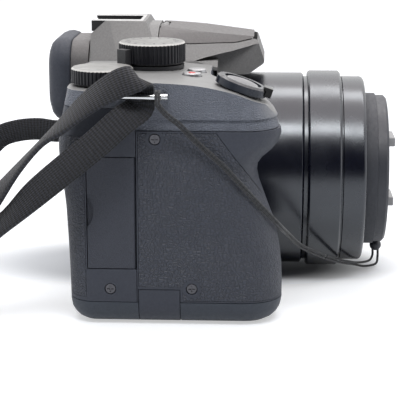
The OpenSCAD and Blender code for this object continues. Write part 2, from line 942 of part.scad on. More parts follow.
module lens_barrel() {
    color("#1d1e21")
        intersection() {
            lens_turn([
                [barrel_in, base_u + seat], [flange_r, base_u + seat], [flange_r, flange_u - seat],
                [barrel_r, flange_u - seat], [barrel_r, barrel_len - 0.6], [barrel_r - 0.6, barrel_len],
                [neck_r, barrel_len], [neck_r, neck_end], [barrel_in, neck_end]
            ]);
            block([-far, -far, wall + 0.1], [far, far, far]);
        }
}

module barrel_ring() {
    color("#222327")
        lens_turn([
            [neck_r + seat, ring_start], [ring_r - 0.7, ring_start], [ring_r, ring_start + 0.7],
            [ring_r, ring_end - 0.7], [ring_r - 0.7, ring_end], [neck_r + seat, ring_end]
        ]);
}

module front_ring() {
    lip = 2.5;
    color("#202125")
        lens_turn(concat(
            [[barrel_in, front_start], [front_ring_r, front_start]],
            [for (a = [0:18:90]) [front_ring_r - 1.5 * (1 - cos(a)), front_end - 1.5 * (1 - sin(a))]],
            [[tube_r + gap, front_end], [tube_r + gap, front_end - lip], [barrel_in, front_end - lip]]
        ));
}

module lens_base() {
    color("#2c2d30")
        intersection() {
            lens_turn([[10, base_u - 4.4], [barrel_r - 1, base_u - 4.4], [barrel_r - 1, base_u], [10, base_u]]);
            block([-far, -far, socket_h + gap], [far, far, far]);
        }
}

module guide_sleeve() {
    color("#303236")
        lens_turn([
            [group_r + fit, base_u + seat], [group_r + 1.6, base_u + seat],
            [group_r + 1.6, sleeve_end], [group_r + fit, sleeve_end]
        ]);
}

module image_sensor() {
    front = base_u - 4.45;
    color("#3f6b4d") {
        block([-24, -front + 3, lens_z - 18], [24, -front + 4.6, lens_z + 18]);
        block([-11, -front, lens_z - 9], [11, -front + 3.1, lens_z + 9]);
    }
}

module main_board() {
    color("#3f6b4d")
        block([x_grip + 6, inner_back - 1.7, base_h + 1.3], [x_port - 11, inner_back - 0.1, frame_low - 4]);
}

module battery() {
    color("#26282b")
        block(
            [bat_x - bat_w / 2, bat_y, bat_door_t + 0.3],
            [bat_x + bat_w / 2, bat_y + bat_d, bat_door_t + 0.3 + bat_h]
        );
}

module memory_card() {
    y = card_y + 1;
    color("#1c2f55")
        block([x_grip + 3.2, y, card_z], [x_grip + 3.2 + card_len, y + card_t, card_z + card_w]);
}

module card_slot() {
    room = 0.1;
    color("#b4b6b8")
        difference() {
            block(
                [x_grip + 5.2, card_y, card_z - 1],
                [x_grip + 4.4 + card_len, card_y + card_slot_t, card_z + card_w + 1]
            );
            block(
                [x_grip, card_y + 1 - room, card_z - room],
                [x_grip + 3.2 + card_len + room, card_y + 1 + card_t + room, card_z + card_w + room]
            );
        }
}

module tripod_socket() {
    color("#aeb0b2")
        difference() {
            union() {
                rod_z(0, 0, socket_r, 0, socket_h);
                rod_z(0, 0, socket_r + 2, wall + seat, wall + 1.6);
            }
            rod_z(0, 0, tripod_r, -1, tripod_depth);
        }
}

// Cross-head screw whose head looks along +Z.
module screw() {
    difference() {
        union() {
            translate([0, 0, -1.3])
                cylinder(r = screw_r, h = 1);
            translate([0, 0, -1.75])
                cylinder(r = 0.8, h = 0.6);
        }
        for (a = [0, 90])
            rotate([0, 0, a])
                translate([-1, -0.2, -0.7])
                    cube([2, 0.4, 1]);
    }
}

module shell_screws() {
    color("#8d9094") {
        for (s = side_screws)
            translate([x_grip, s[0], s[1]])
                rotate([0, -90, 0])
                    screw();
        for (s = base_screws)
            translate([s[0], s[1], 0])
                rotate([180, 0, 0])
                    screw();
    }
}

module strap_lugs() {
    color("#c9cbcd")
        for (s = [[x_grip, -1], [x_port, 1]]) {
            bar = s[0] + s[1] * lug_stand;
            root = s[0] - s[1] * 3.4;
            for (y = [-1, 1])
                rod_x(lug_y + y * lug_span / 2, lug_z, lug_r, min(bar, root), max(bar, root));
            rod_y(bar, lug_z, lug_r, lug_y - lug_span / 2 - lug_r, lug_y + lug_span / 2 + lug_r);
        }
}

module control_frame() {
    color("#6a6d72")
        difference() {
            union() {
                block(
                    [x_grip + 4, -front_y + wall + 0.2, frame_z],
                    [mode_x + 8, back_y - 4, frame_z + frame_t]
                );
                rod_z(mode_x, mode_y, post_r, frame_z, deck_h + dial_gap - 0.3);
                rod_z(rear_x, rear_dial_y, shaft_r + 1, frame_z, deck_h - rear_recess + 0.4);
                block(
                    [shutter_x - 4, shutter_y - 0.6, belt_z - 4.6],
                    [shutter_x + 4, -front_y + wall + 4, belt_z - 2.2]
                );
                block(
                    [shutter_x - 4, -front_y + wall + 0.2, belt_z - 4.6],
                    [shutter_x + 4, -front_y + wall + 4, frame_z + 0.1]
                );
                shutter_post(0);
                shutter_frame()
                    translate([0, 0, -post_down + 5])
                        cylinder(r = sleeve_out, h = post_down - 3);
            }
            rod_z(mode_x, mode_y, shaft_r + fit, frame_z - 1, far);
            rod_z(rear_x, rear_dial_y, shaft_r - 1 + fit, frame_z - 1, far);
            rod_z(movie_x, movie_y, button_stem_r + fit, frame_z - 1, far);
            rod_z(function_x, function_y, button_stem_r + fit, frame_z - 1, far);
            shutter_frame()
                translate([0, 0, -post_down - 5])
                    cylinder(r = stem_r + fit, h = 30);
            shutter_frame()
                translate([0, 0, -2.5])
                    cylinder(r = sleeve_in, h = 20);
        }
}

module zoom_motor() {
    color("#9a9da1")
        union() {
            rod_y(-motor_x, motor_z, motor_r, -front_y + wall + seat, 8);
            rod_y(-motor_x, motor_z, 1, 7, 12);
        }
}

module side_sockets() {
    color("#a9abad")
        difference() {
            block(
                [x_port - 7.5, port_y + 4, port_low + 3.1],
                [x_port - 3.6, port_y + 12, port_low + port_h - 3.1]
            );
            for (z = [5, 14, 24])
                block([x_port - 5.5, port_y + 5.2, port_low + z], [x_port, port_y + 10.8, port_low + z + 5]);
        }
}

// Toothed outline of a dial.
function teeth(r, n) = [
    for (i = [0:n - 1]) each [
        for (k = [0, 0.3, 0.5, 0.8])
            (k < 0.4 ? r : r - tooth_d) * [cos(360 * (i + k) / n), sin(360 * (i + k) / n)]
    ]
];

// Dial with a toothed side, a smooth rim and a shaft below.
module dial(r, h, n, shaft, drop) {
    rim = 0.5;
    union() {
        cylinder(r = r - 0.7, h = 0.6);
        translate([0, 0, 0.5])
            linear_extrude(h - rim - 0.5)
                polygon(teeth(r, n));
        translate([0, 0, h - rim])
            cylinder(r1 = r - 0.1, r2 = r - 0.5, h = rim);
        translate([0, 0, -drop])
            cylinder(r = shaft, h = drop + 0.1);
    }
}

module mode_dial() {
    z = deck_h + dial_gap;
    color("#26272a")
        translate([mode_x, mode_y, z])
            dial(mode_r, mode_h, mode_teeth, shaft_r, z - frame_z);
}

module power_lever() {
    z = deck_h + seat;
    tab = mode_r + 0.4;
    color("#2b2c30")
        translate([mode_x, mode_y, z])
            difference() {
                union() {
                    cylinder(r = mode_r - 0.4, h = lever_ring_h);
                    rotate([0, 0, lever_tab_angle])
                        along(-lever_tab_w / 2, lever_tab_w / 2, [
                            [mode_r - 1.5, 0.1], [tab + 2.4, 0.1],
                            [tab + 2.4, lever_tab_h], [tab, lever_tab_h],
                            [tab, lever_ring_h - 0.1], [mode_r - 1.5, lever_ring_h - 0.1]
                        ]);
                }
                cylinder(r = post_r + fit, h = far, center = true);
            }
}

module rear_dial() {
    z = deck_h - rear_recess + 0.5;
    color("#26272a")
        translate([rear_x, rear_dial_y, z])
            dial(rear_r, rear_h, rear_teeth, shaft_r - 1, z - frame_z);
}

module shutter_button() {
    crown = 0.7;
    ball = (shutter_r * shutter_r + crown * crown) / (2 * crown);
    color("#3a3b3f")
        shutter_frame()
            union() {
                translate([0, 0, -post_down])
                    cylinder(r = stem_r, h = post_down + 1);
                intersection() {
                    translate([0, 0, 0.5])
                        cylinder(r = shutter_r, h = 4);
                    translate([0, 0, 3.7 - ball])
                        sphere(r = ball, $fn = 96);
                }
            }
}

module zoom_lever() {
    color("#b9bbbd")
        shutter_frame()
            difference() {
                union() {
                    translate([0, 0, 0.4])
                        cylinder(r = lever_r, h = lever_h - 0.6);
                    translate([0, 0, lever_h - 0.3])
                        cylinder(r1 = lever_r, r2 = lever_r - 0.7, h = 0.7);
                    translate([-2.6, -lever_r - 1.5, 0.9])
                        cube([5.2, 3, 3]);
                }
                cylinder(r = sleeve_out + fit, h = 30, center = true);
            }
}

// Small push button on the deck, with its stem in the control frame.
module deck_button(x, y) {
    top = deck_z(y) + button_rise;
    union() {
        rod_z(x, y, top_button_r, top - 2.4, top);
        rod_z(x, y, button_stem_r, frame_z, top - 2.3);
    }
}

module movie_button() {
    color("#d0d1d2")
        deck_button(movie_x, movie_y);
}

module function_button() {
    color("#5c5f65")
        deck_button(function_x, function_y);
}

module flash_head() {
    color("#5d6066")
        difference() {
            union() {
                intersection() {
                    hump_form();
                    lid_prism(0);
                }
                block([-bay_w / 2 + 1, -lid_front + 1.6, lid_z - 5], [bay_w / 2 - 1, -9, lid_z + 1.4]);
            }
            block(
                [-lid_knuckle_w / 2 - gap, lid_pin_y - lid_knuckle_r - gap, lid_pin_z - lid_knuckle_r - gap],
                [lid_knuckle_w / 2 + gap, far, far]
            );
            rod_x(lid_pin_y, lid_pin_z, lid_pin_r + fit, -bay_w / 2 - gap, bay_w / 2 + gap);
            difference() {
                block([-far, lid_pin_y, lid_pin_z], [far, far, far]);
                rod_x(lid_pin_y, lid_pin_z, 1.5, -far, far);
            }
            shoe_pocket();
        }
}

module flash_window() {
    color("#dfe3e6")
        block([-bay_w / 2 + 2, -lid_front + 1, lid_z - 4.6], [bay_w / 2 - 2, -lid_front + 1.55, lid_z - 0.3]);
}

module lens_tube() {
    flange = barrel_in - gap;
    color("#1b1c1f")
        lens_turn([
            [tube_in, tube_rear], [flange, tube_rear], [flange, tube_rear + 2.5], [tube_r, tube_rear + 2.5],
            [tube_r, tube_front], [filter_r, tube_front], [filter_r, tube_front - 4.6],
            [tube_in, tube_front - 4.6], [tube_in - 3, tube_front - 6], [tube_in - 3, tube_front - 6.6],
            [tube_in, tube_front - 8.6], [tube_in, 58],
            [tube_in - 1.5, 58], [tube_in - 1.5, 56.5], [tube_in, 56.5]
        ]);
}

module front_element() {
    r = tube_in - fit;
    bulge = 2.2;
    color("#4c5a6e")
        lens_turn(concat(
            [[0, 58 + seat], [r, 58 + seat]],
            [for (i = [0:8]) let (q = r * (1 - i / 8)) [q, 60.2 + bulge * (1 - q * q / (r * r))]]
        ));
}

module zoom_group() {
    color("#4c5a6e")
        lens_turn([[0, 26], [8, 25.2], [group_r, 25.2], [group_r, 32], [8, 32], [0, 33]]);
}

// Pinch tab of the cap on the upper side.
module cap_tab() {
    color("#8b8d90")
        union() {
            intersection() {
                block(
                    [-tab_w / 2, -cap_front, lens_z + tab_in],
                    [tab_w / 2, -cap_back - 0.3, lens_z + tab_out]
                );
                rod_y(0, lens_z, cap_r - 1, -far, far);
            }
            block(
                [-tab_w / 2 + 1, -cap_front - tab_ridge, lens_z + 9.2],
                [tab_w / 2 - 1, -cap_front + 0.1, lens_z + 12.4]
            );
        }
}

module lens_cap() {
    color("#26272a")
        difference() {
            union() {
                lens_turn([
                    [0, cap_back - 2.4], [filter_r - 0.5, cap_back - 2.4], [filter_r - 0.5, cap_back],
                    [cap_r, cap_back], [cap_r, cap_front - 0.8], [cap_r - 0.8, cap_front], [0, cap_front]
                ]);
                translate([0, -bead_u, bead_z])
                    sphere(r = bead_r, $fn = 24);
                rod_z(0, -bead_u, 1.3, bead_z, bead_z + 4);
            }
            for (m = [0, 1])
                translate([0, 0, 2 * m * lens_z])
                    mirror([0, 0, m])
                        block(
                            [-tab_w / 2 - gap, -far, lens_z + tab_in - tab_travel - gap],
                            [tab_w / 2 + gap, -cap_back - 0.2, lens_z + tab_out + gap]
                        );
            for (s = [-1, 1])
                rod_z(0, s * bead_hang - bead_u, bead_hole_r, -far, bead_z + 0.7);
            rod_y(0, bead_z + 0.3, bead_hole_r, -bead_hang - bead_u, bead_hang - bead_u);
        }
}

module cap_tab_upper() {
    cap_tab();
}

module cap_tab_lower() {
    translate([0, 0, 2 * lens_z])
        mirror([0, 0, 1])
            cap_tab();
}

// Flat door with a knuckle along its hinge edge, before it is placed.
module door_plate(len, h) {
    difference() {
        union() {
            block([-knuckle_r, 0, 0], [door_t - knuckle_r, len, h]);
            cylinder(r = knuckle_r, h = h);
        }
        children();
    }
    for (z = [-2, h - 0.1])
        rod_z(0, 0, hinge_pin_r, z, z + 2.1);
}

module card_door() {
    color("#43464c")
        translate([x_grip + knuckle_r, door_pin_y, door_z])
            door_plate(door_w, door_h)
                rod_x(door_w + 5.6, 0.52 * door_h, 7.6, -2, -knuckle_r + 1);
}

module port_door() {
    color("#43464c")
        translate([x_port - knuckle_r, port_y + knuckle_r, port_low])
            mirror([1, 0, 0])
                door_plate(port_len - knuckle_r, port_h);
}

module dc_cover() {
    color("#33353a")
        union() {
            surface_layer(flap_t)
                intersection() {
                    flap_space(0);
                    block([-far, -far, flap_low], [far, far, far]);
                }
            rod_y(flap_pin_x, flap_pin_z, knuckle_r, -flap_front, part_y - 0.6);
            rod_y(flap_pin_x, flap_pin_z, hinge_pin_r, -flap_front - 1.6, part_y + 1);
        }
}

// Room for the screen in the outer face of the monitor, drawn in by an inset.
module screen_block(inset, depth) {
    side = mon_bezel + inset;
    block(
        [mon_x - mon_w + side, mon_face - depth[0], mon_pin_z + side],
        [mon_x - side, mon_face - depth[1], mon_z + mon_h - side]
    );
}

module monitor() {
    color("#2f3136")
        difference() {
            union() {
                block([mon_x - mon_w, mon_face - mon_t, mon_pin_z], [mon_x, mon_face, mon_z + mon_h]);
                rod_x(mon_y, mon_pin_z, mon_t / 2, mon_x - mon_w, mon_x);
                rod_x(mon_y, mon_pin_z, mon_pin_r, mon_x - mon_w - 2.2, mon_x + 2.2);
            }
            screen_block(0, [0.8, -1]);
        }
}

module monitor_screen() {
    color("#15171b")
        screen_block(fit, [0.8 - fit, 0.1]);
}

module battery_door() {
    x0 = bat_hinge_x - bat_door_w - knuckle_r;
    y0 = bat_y - 0.8;
    color("#34373c")
        difference() {
            union() {
                intersection() {
                    body_form(0);
                    block([x0, y0, 0], [bat_hinge_x - 0.2, y0 + bat_door_d, bat_door_t]);
                }
                rod_y(bat_hinge_x, knuckle_r, knuckle_r - fit, y0, y0 + bat_door_d);
                rod_y(bat_hinge_x, knuckle_r, hinge_pin_r, y0 - 1.6, y0 + bat_door_d + 1.6);
            }
            block([x0 + 2.6, y0 + 9.6, -1], [x0 + 9.8, y0 + 14.4, 1]);
        }
}

module battery_latch() {
    x0 = bat_hinge_x - bat_door_w - knuckle_r;
    y0 = bat_y - 0.8;
    color("#7a7d82")
        block([x0 + 2.8, y0 + 9.8, 0.2], [x0 + 7, y0 + 14.2, 0.95]);
}

module diopter_wheel() {
    color("#26272a")
        translate([frame_w / 2 + seam, wheel_y, wheel_z])
            rotate([0, 90, 0])
                union() {
                    linear_extrude(wheel_t)
                        polygon(teeth(wheel_r, 24));
                    translate([0, 0, -3.6])
                        cylinder(r = wheel_shaft_r, h = 4);
                }
}

module cursor_pad() {
    color("#2b2c30")
        difference() {
            union() {
                rod_y(pad_x, pad_z, pad_r, back_y - 1.9, back_y + 1.6);
                rod_x(pad_pin_y, pad_z, pad_pin_r, pad_x - pad_pin_x, pad_x + pad_pin_x);
                rod_y(pad_x, pad_z, stem_r + 0.9, back_y - 2, back_y);
            }
            rod_y(pad_x, pad_z, set_r + gap, back_y - 0.8, far);
            rod_y(pad_x, pad_z, stem_r + 0.4, 0, far);
        }
}

module set_button() {
    color("#3c3e43")
        union() {
            rod_y(pad_x, pad_z, set_r, back_y + 0.6, back_y + 2.2);
            rod_y(pad_x, pad_z, stem_r, inner_back + 0.8, back_y + 0.7);
        }
}

module playback_button() {
    color("#3c3e43")
        union() {
            rod_y(pad_x, play_z, rear_button_r, back_y - 0.8, back_y + 2.6);
            rod_y(pad_x, play_z, stem_r, inner_back + 0.8, back_y);
        }
}

// Strap routes: rows of a place and the way the webbing's width points there.
lug_bar_x = x_grip - lug_stand;
port_bar_x = x_port + lug_stand;
near_pitch = 48;
near_yaw = 78;
near_slider = [x_grip - 2, 72, 15];
far_pitch = 40;
far_yaw = 84;
far_slider = [x_port + 9, 34, 46];
function heading(pitch, yaw) = [cos(pitch) * cos(yaw), cos(pitch) * sin(yaw), -sin(pitch)];
function upright(pitch, yaw) = [sin(pitch) * cos(yaw), sin(pitch) * sin(yaw), cos(pitch)];
function aside(yaw) = [-sin(yaw), cos(yaw), 0];
near_way = heading(near_pitch, near_yaw);
near_up = upright(near_pitch, near_yaw);
near_side = aside(near_yaw);
far_way = heading(far_pitch, far_yaw);
far_up = upright(far_pitch, far_yaw);
far_side = aside(far_yaw);
layer = 1.5;

// Rolled strap standing on its edge, wound as a double spiral from an S-shaped heart.
coil_x = 0;
coil_y = 115;
coil_heart = 12;
coil_in_turns = 3;
coil_out_turns = 2.75;
coil_loop_steps = 24;
strap_lift = 0.2;
function coil_r(turns) = coil_heart + 2 * coil_pitch * turns;
function coil_arm(turns, phase, steps) = [
    for (i = [0:steps])
        let (t = turns * i / steps)
        [coil_x + coil_r(t) * cos(360 * t + phase), coil_y + coil_r(t) * sin(360 * t + phase)]
];
coil_in = coil_arm(coil_in_turns, 180, coil_loop_steps * coil_in_turns);
coil_out = coil_arm(coil_out_turns, 0, coil_loop_steps * coil_out_turns);
coil_plan = concat(
    [for (i = [len(coil_in) - 1:-1:0]) coil_in[i]],
    [
        for (a = [30:30:150])
            [coil_x - coil_heart / 2 - coil_heart / 2 * cos(a), coil_y + coil_heart / 2 * sin(a)]
    ],
    [[coil_x, coil_y]],
    [
        for (a = [30:30:150])
            [coil_x + coil_heart / 2 - coil_heart / 2 * cos(a), coil_y - coil_heart / 2 * sin(a)]
    ],
    coil_out
);
coil_rows = [for (p = coil_plan) [[p[0], p[1], strap_w / 2 + strap_lift], [0, 0, 1]]];
coil_gap = min([
    for (i = [0:len(coil_plan) - 1]) for (j = [i + 12:1:len(coil_plan) - 1])
        norm(coil_plan[i] - coil_plan[j])
]) - strap_t;

// Rows through a slider: the steps along its slot, in order, on one of its two layers.
function in_slider(place, way, side, up, steps) = [for (k = steps) [place + k * way + layer * side, up]];

near_tail = concat(
    in_slider(near_slider, near_way, near_side, near_up, [9, 5, -5, -10]),
    [
        [[lug_bar_x - 2.1, lug_y + 44.6, lug_z - 40.4], [0.85, 0.36, 0.38]],
        [[lug_bar_x - 4.1, lug_y + 32.9, lug_z - 29.6], [0.45, 0.6, 0.66]],
        [[lug_bar_x - 6, lug_y + 21.8, lug_z - 20.2], [0.12, 0.66, 0.74]],
        [[lug_bar_x - 6, lug_y + 13.5, lug_z - 13.4], [0, 0.66, 0.75]],
        [[lug_bar_x - 3.6, lug_y + 6, lug_z - 6.8], [0, 0.7, 0.71]],
        [[lug_bar_x + 1.7, lug_y + 1.15, lug_z - 3.6], [0, 0.95, 0.3]]
    ]
);
near_rows = concat(
    [
        [[lug_bar_x + 1.8, lug_y + 1.15, lug_z + 0.6], [0, 1, 0]],
        [[lug_bar_x + 1.3, lug_y + 1.15, lug_z + 3.4], [0, 0.94, 0.34]],
        [[lug_bar_x - 0.2, lug_y + 1.3, lug_z + 5.4], [0.05, 0.78, 0.62]],
        [[lug_bar_x - 2.2, lug_y + 3.7, lug_z + 5.5], [0.2, 0.7, 0.68]],
        [[lug_bar_x - 2.6, lug_y + 8.3, lug_z + 3.7], [0.42, 0.61, 0.67]],
        [[lug_bar_x - 2.6, lug_y + 16.2, lug_z - 1.4], [0.77, 0.43, 0.48]],
        [[lug_bar_x - 1.9, lug_y + 24.2, lug_z - 8.5], [0.93, 0.24, 0.27]],
        [[lug_bar_x - 0.9, lug_y + 30.6, lug_z - 13.9], [1, 0.06, 0.07]],
        [[lug_bar_x + 0.1, lug_y + 38.2, lug_z - 22.2], [0.98, 0.12, 0.13]],
        [[lug_bar_x + 0.8, lug_y + 44.9, lug_z - 30.5], [0.9, 0.3, 0.33]],
        [[lug_bar_x + 1.2, lug_y + 51.6, lug_z - 38.9], [0.66, 0.5, 0.55]]
    ],
    in_slider(near_slider, near_way, -near_side, near_up, [-10, -5, 5, 10]),
    [
        [[x_grip + 4.5, 86, 5.9], [0.05, 0.3, 0.95]],
        [[x_grip + 14, 95, strap_w / 2 + 0.5], [0, 0.05, 1]],
        [[x_grip + 28, 103, strap_w / 2 + 0.6], [0, 0, 1]]
    ]
);
far_rows = concat(
    [
        [[20, coil_y - coil_r(coil_out_turns) - 0.6, strap_w / 2 + 0.4], [0, 0, 1]],
        [[x_port - 15, 83, 8], [0, 0, 1]],
        [[x_port, 84, 16], [0, 0.1, 1]],
        [[x_port + 6, 82, 27.5], [0, 0.15, 1]],
        [[x_port + 9, 76.8, 34], [0, 0.3, 0.95]],
        [[x_port + 10, 69.5, 36.6], [0, 0.3, 0.95]],
        [[x_port + 10.2, 61, 37.4], [0, 0.3, 0.95]],
        [[x_port + 10.4, 52, 36.6], [0, 0.5, 0.85]]
    ],
    in_slider(far_slider, far_way, -far_side, far_up, [10, 5, -5, -10]),
    [
        [[port_bar_x + 4, 18, 67], [0, 0.7, 0.7]],
        [[port_bar_x + 1.8, lug_y + 5, lug_z + 4.4], [0, 0.95, 0.3]],
        [[port_bar_x - 1.8, lug_y + 0.6, lug_z + 3], [0, 1, 0]]
    ]
);
far_tail = concat(
    [
        [[port_bar_x - 2.2, lug_y, lug_z - 1.6], [0, 1, 0]],
        [[port_bar_x - 1.4, lug_y + 4, lug_z - 7], [0, 0.95, 0.3]],
        [[port_bar_x + 0.6, 20, 57.6], [0, 0.7, 0.7]]
    ],
    in_slider(far_slider, far_way, far_side, far_up, [-10, -5, 5, 9])
);
strap_rows = concat(near_tail, near_rows, coil_rows, far_rows, far_tail);

// Flat webbing along rows of place and width direction.
module webbing(rows, steps) {
    place = smooth_line([for (r = rows) r[0]], steps);
    width = smooth_line([for (r = rows) r[1]], steps);
    n = len(place) - 1;
    loft([
        for (i = [0:n])
            let (
                way = unit(place[min(i + 1, n)] - place[max(i - 1, 0)]),
                w = unit(width[i] - way * (width[i] * way)),
                q = cross(way, w),
                a = w * strap_w / 2,
                b = q * strap_t / 2
            )
            [place[i] + a + b, place[i] - a + b, place[i] - a - b, place[i] + a - b]
    ]);
}

module neck_strap() {
    color("#1d1e21")
        webbing(strap_rows, 2);
}

// Ladder slider with a slot for each layer of webbing.
module slider(place, pitch, yaw) {
    slot = strap_t + 0.8;
    translate(place)
        rotate([0, pitch, yaw])
            difference() {
                cube([5, 2 * layer + slot + 2.4, strap_w + 4], center = true);
                for (s = [-1, 1])
                    translate([0, s * layer, 0])
                        cube([20, slot, strap_w + 0.8], center = true);
            }
}

module strap_sliders() {
    color("#2b2c30") {
        slider(near_slider, near_pitch, near_yaw);
        slider(far_slider, far_pitch, far_yaw);
    }
}

// Tether: two strands from the strap bar to a joint under the lens, then one loop through the cap's bead.
strand_gap = tether_d + 0.1;
strand_side = [0, 0.55, -0.83];
tether_rows = [
    [[lug_bar_x + 1.5, lug_y - 4.6, lug_z - 1.4], [0, 1, 0]],
    [[lug_bar_x + 1.2, lug_y - 4.6, lug_z + 1.2], [0, 1, 0]],
    [[lug_bar_x - 0.9, lug_y - 4.6, lug_z + 1.7], [0, 1, 0]],
    [[lug_bar_x - 2, lug_y - 4.7, lug_z - 0.6], [0, 1, -0.1]],
    [[lug_bar_x - 2.1, lug_y - 4.9, lug_z - 2.1], [0, 1, -0.3]],
    [[lug_bar_x - 1.2, lug_y - 7.4, lug_z - 5.3], [0, 0.7, -0.7]],
    [[lug_bar_x + 0.2, lug_y - 11.3, lug_z - 8.7], [0, 0.62, -0.78]],
    [[x_grip - 2, -12.1, 59], strand_side],
    [[x_grip - 1.3, -19.8, 51.9], strand_side],
    [[x_grip + 1.6, -27.6, 42.7], strand_side],
    [[x_grip + 8, -36.4, 31.9], strand_side],
    [[x_grip + 22, -40, 24.9], strand_side],
    [[x_grip + 34, -44.6, 17.8], strand_side],
    [[x_grip + 46, -53.3, 10.8], strand_side]
];
loop_out = [
    [x_grip + 46.1, -53.4, 10.7],
    [x_grip + 51.5, -57.5, 8.1],
    [x_grip + 57, -61.2, 5.9]
];
bead_hang = 0.95;
loop_turn = [
    [-9, 7 - bead_u, 3.6],
    [-2, 2.4 - bead_u, 2.4],
    [0, bead_hang - bead_u, 4],
    [0, bead_hang - bead_u, bead_z - 1.4],
    [0, bead_hang - bead_u, bead_z],
    [0, -bead_u, bead_z + 0.4],
    [0, -bead_hang - bead_u, bead_z],
    [0, -bead_hang - bead_u, bead_z - 1.4],
    [0, -bead_hang - bead_u, 3.2],
    [-1, -0.2 - bead_u, 1],
    [-4, 4 - bead_u, 0.9],
    [-9, 8 - bead_u, 2.9]
];

// Round tube along points.
module tube(points, d) {
    n = len(points) - 1;
    sides = 8;
    loft([
        for (i = [0:n])
            let (
                way = unit(points[min(i + 1, n)] - points[max(i - 1, 0)]),
                u = unit(cross([1, 0.15, 0], way)),
                v = cross(way, u)
            )
            [for (k = [0:sides - 1]) points[i] + d / 2 * (u * cos(360 * k / sides) + v * sin(360 * k / sides))]
    ]);
}

module tether_cord() {
    place = smooth_line([for (r = tether_rows) r[0]], 4);
    side = smooth_line([for (r = tether_rows) unit(r[1])], 4);
    color("#1d1e21")
        for (s = [-1, 1])
            tube([for (i = [0:len(place) - 1]) place[i] + s * side[i] * strand_gap / 2], tether_d);
}

module tether_loop() {
    half = unit(strand_side) * strand_gap / 2;
    there = [for (p = loop_out) p - half];
    back = [for (i = [len(loop_out) - 1:-1:0]) loop_out[i] + half];
    color("#1d1e21")
        tube(smooth_line(concat(there, loop_turn, back), 3), tether_d);
}

front_shell();
rear_shell();
top_cover();
base_cover();
grip_skin();
thumb_skin();
hump_housing();
eyepiece_frame();
eyecup();
eyepiece_glass();
evf_module();
hot_shoe();
lens_barrel();
barrel_ring();
front_ring();
lens_base();
guide_sleeve();
image_sensor();
main_board();
battery();
memory_card();
card_slot();
tripod_socket();
shell_screws();
strap_lugs();
control_frame();
zoom_motor();
side_sockets();
mode_dial();
power_lever();
rear_dial();
shutter_button();
zoom_lever();
movie_button();
function_button();
flash_head();
flash_window();
lens_tube();
front_element();
zoom_group();
lens_cap();
cap_tab_upper();
cap_tab_lower();
card_door();
dc_cover();
monitor();
monitor_screen();
battery_door();
battery_latch();
port_door();
diopter_wheel();
cursor_pad();
set_button();
playback_button();
neck_strap();
strap_sliders();
tether_cord();
tether_loop();

echo(coil_least_gap = coil_gap);
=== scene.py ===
import math

import bpy
from mathutils import Matrix, Vector


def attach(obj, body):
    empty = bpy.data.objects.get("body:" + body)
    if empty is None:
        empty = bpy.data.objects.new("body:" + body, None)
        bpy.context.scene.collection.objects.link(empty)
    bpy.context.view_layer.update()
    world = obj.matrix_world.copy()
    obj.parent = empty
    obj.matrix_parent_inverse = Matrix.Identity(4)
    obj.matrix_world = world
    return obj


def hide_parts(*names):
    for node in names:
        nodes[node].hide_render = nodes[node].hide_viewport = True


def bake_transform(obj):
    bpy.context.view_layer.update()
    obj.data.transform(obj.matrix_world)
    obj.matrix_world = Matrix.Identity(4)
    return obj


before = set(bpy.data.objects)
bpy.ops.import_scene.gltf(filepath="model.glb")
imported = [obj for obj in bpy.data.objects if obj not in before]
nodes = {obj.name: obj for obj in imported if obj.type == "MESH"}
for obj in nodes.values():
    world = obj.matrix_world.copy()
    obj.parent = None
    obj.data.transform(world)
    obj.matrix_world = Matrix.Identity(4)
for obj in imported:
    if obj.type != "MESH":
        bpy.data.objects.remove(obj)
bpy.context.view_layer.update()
scene = bpy.context.scene
scene.view_settings.view_transform = "Standard"
MM = 0.001


# Camera at the photograph's viewing angle.
PHOTO_SIDE = 416
FOCAL_PIXELS = 1437.55
CAMERA_PLACE = (-510.64, -32.21, 143.95)


def add_camera():
    """Camera fitted to points of the photograph, with its turns in radians."""
    pitch, yaw, roll = 0.2361, 0.0405, 0.0021
    ahead = Vector((math.cos(pitch) * math.cos(yaw), math.cos(pitch) * math.sin(yaw), -math.sin(pitch)))
    right = ahead.cross(Vector((0, 0, 1))).normalized()
    up = right.cross(ahead)
    right, up = right * math.cos(roll) + up * math.sin(roll), up * math.cos(roll) - right * math.sin(roll)
    data = bpy.data.cameras.new("view")
    data.sensor_width = 36
    data.lens = FOCAL_PIXELS * data.sensor_width / PHOTO_SIDE
    data.clip_end = 20
    obj = bpy.data.objects.new("view", data)
    turn = Matrix((right, up, -ahead)).transposed().to_4x4()
    obj.matrix_world = Matrix.Translation(Vector(CAMERA_PLACE) * MM) @ turn
    scene.collection.objects.link(obj)
    scene.camera = obj


add_camera()


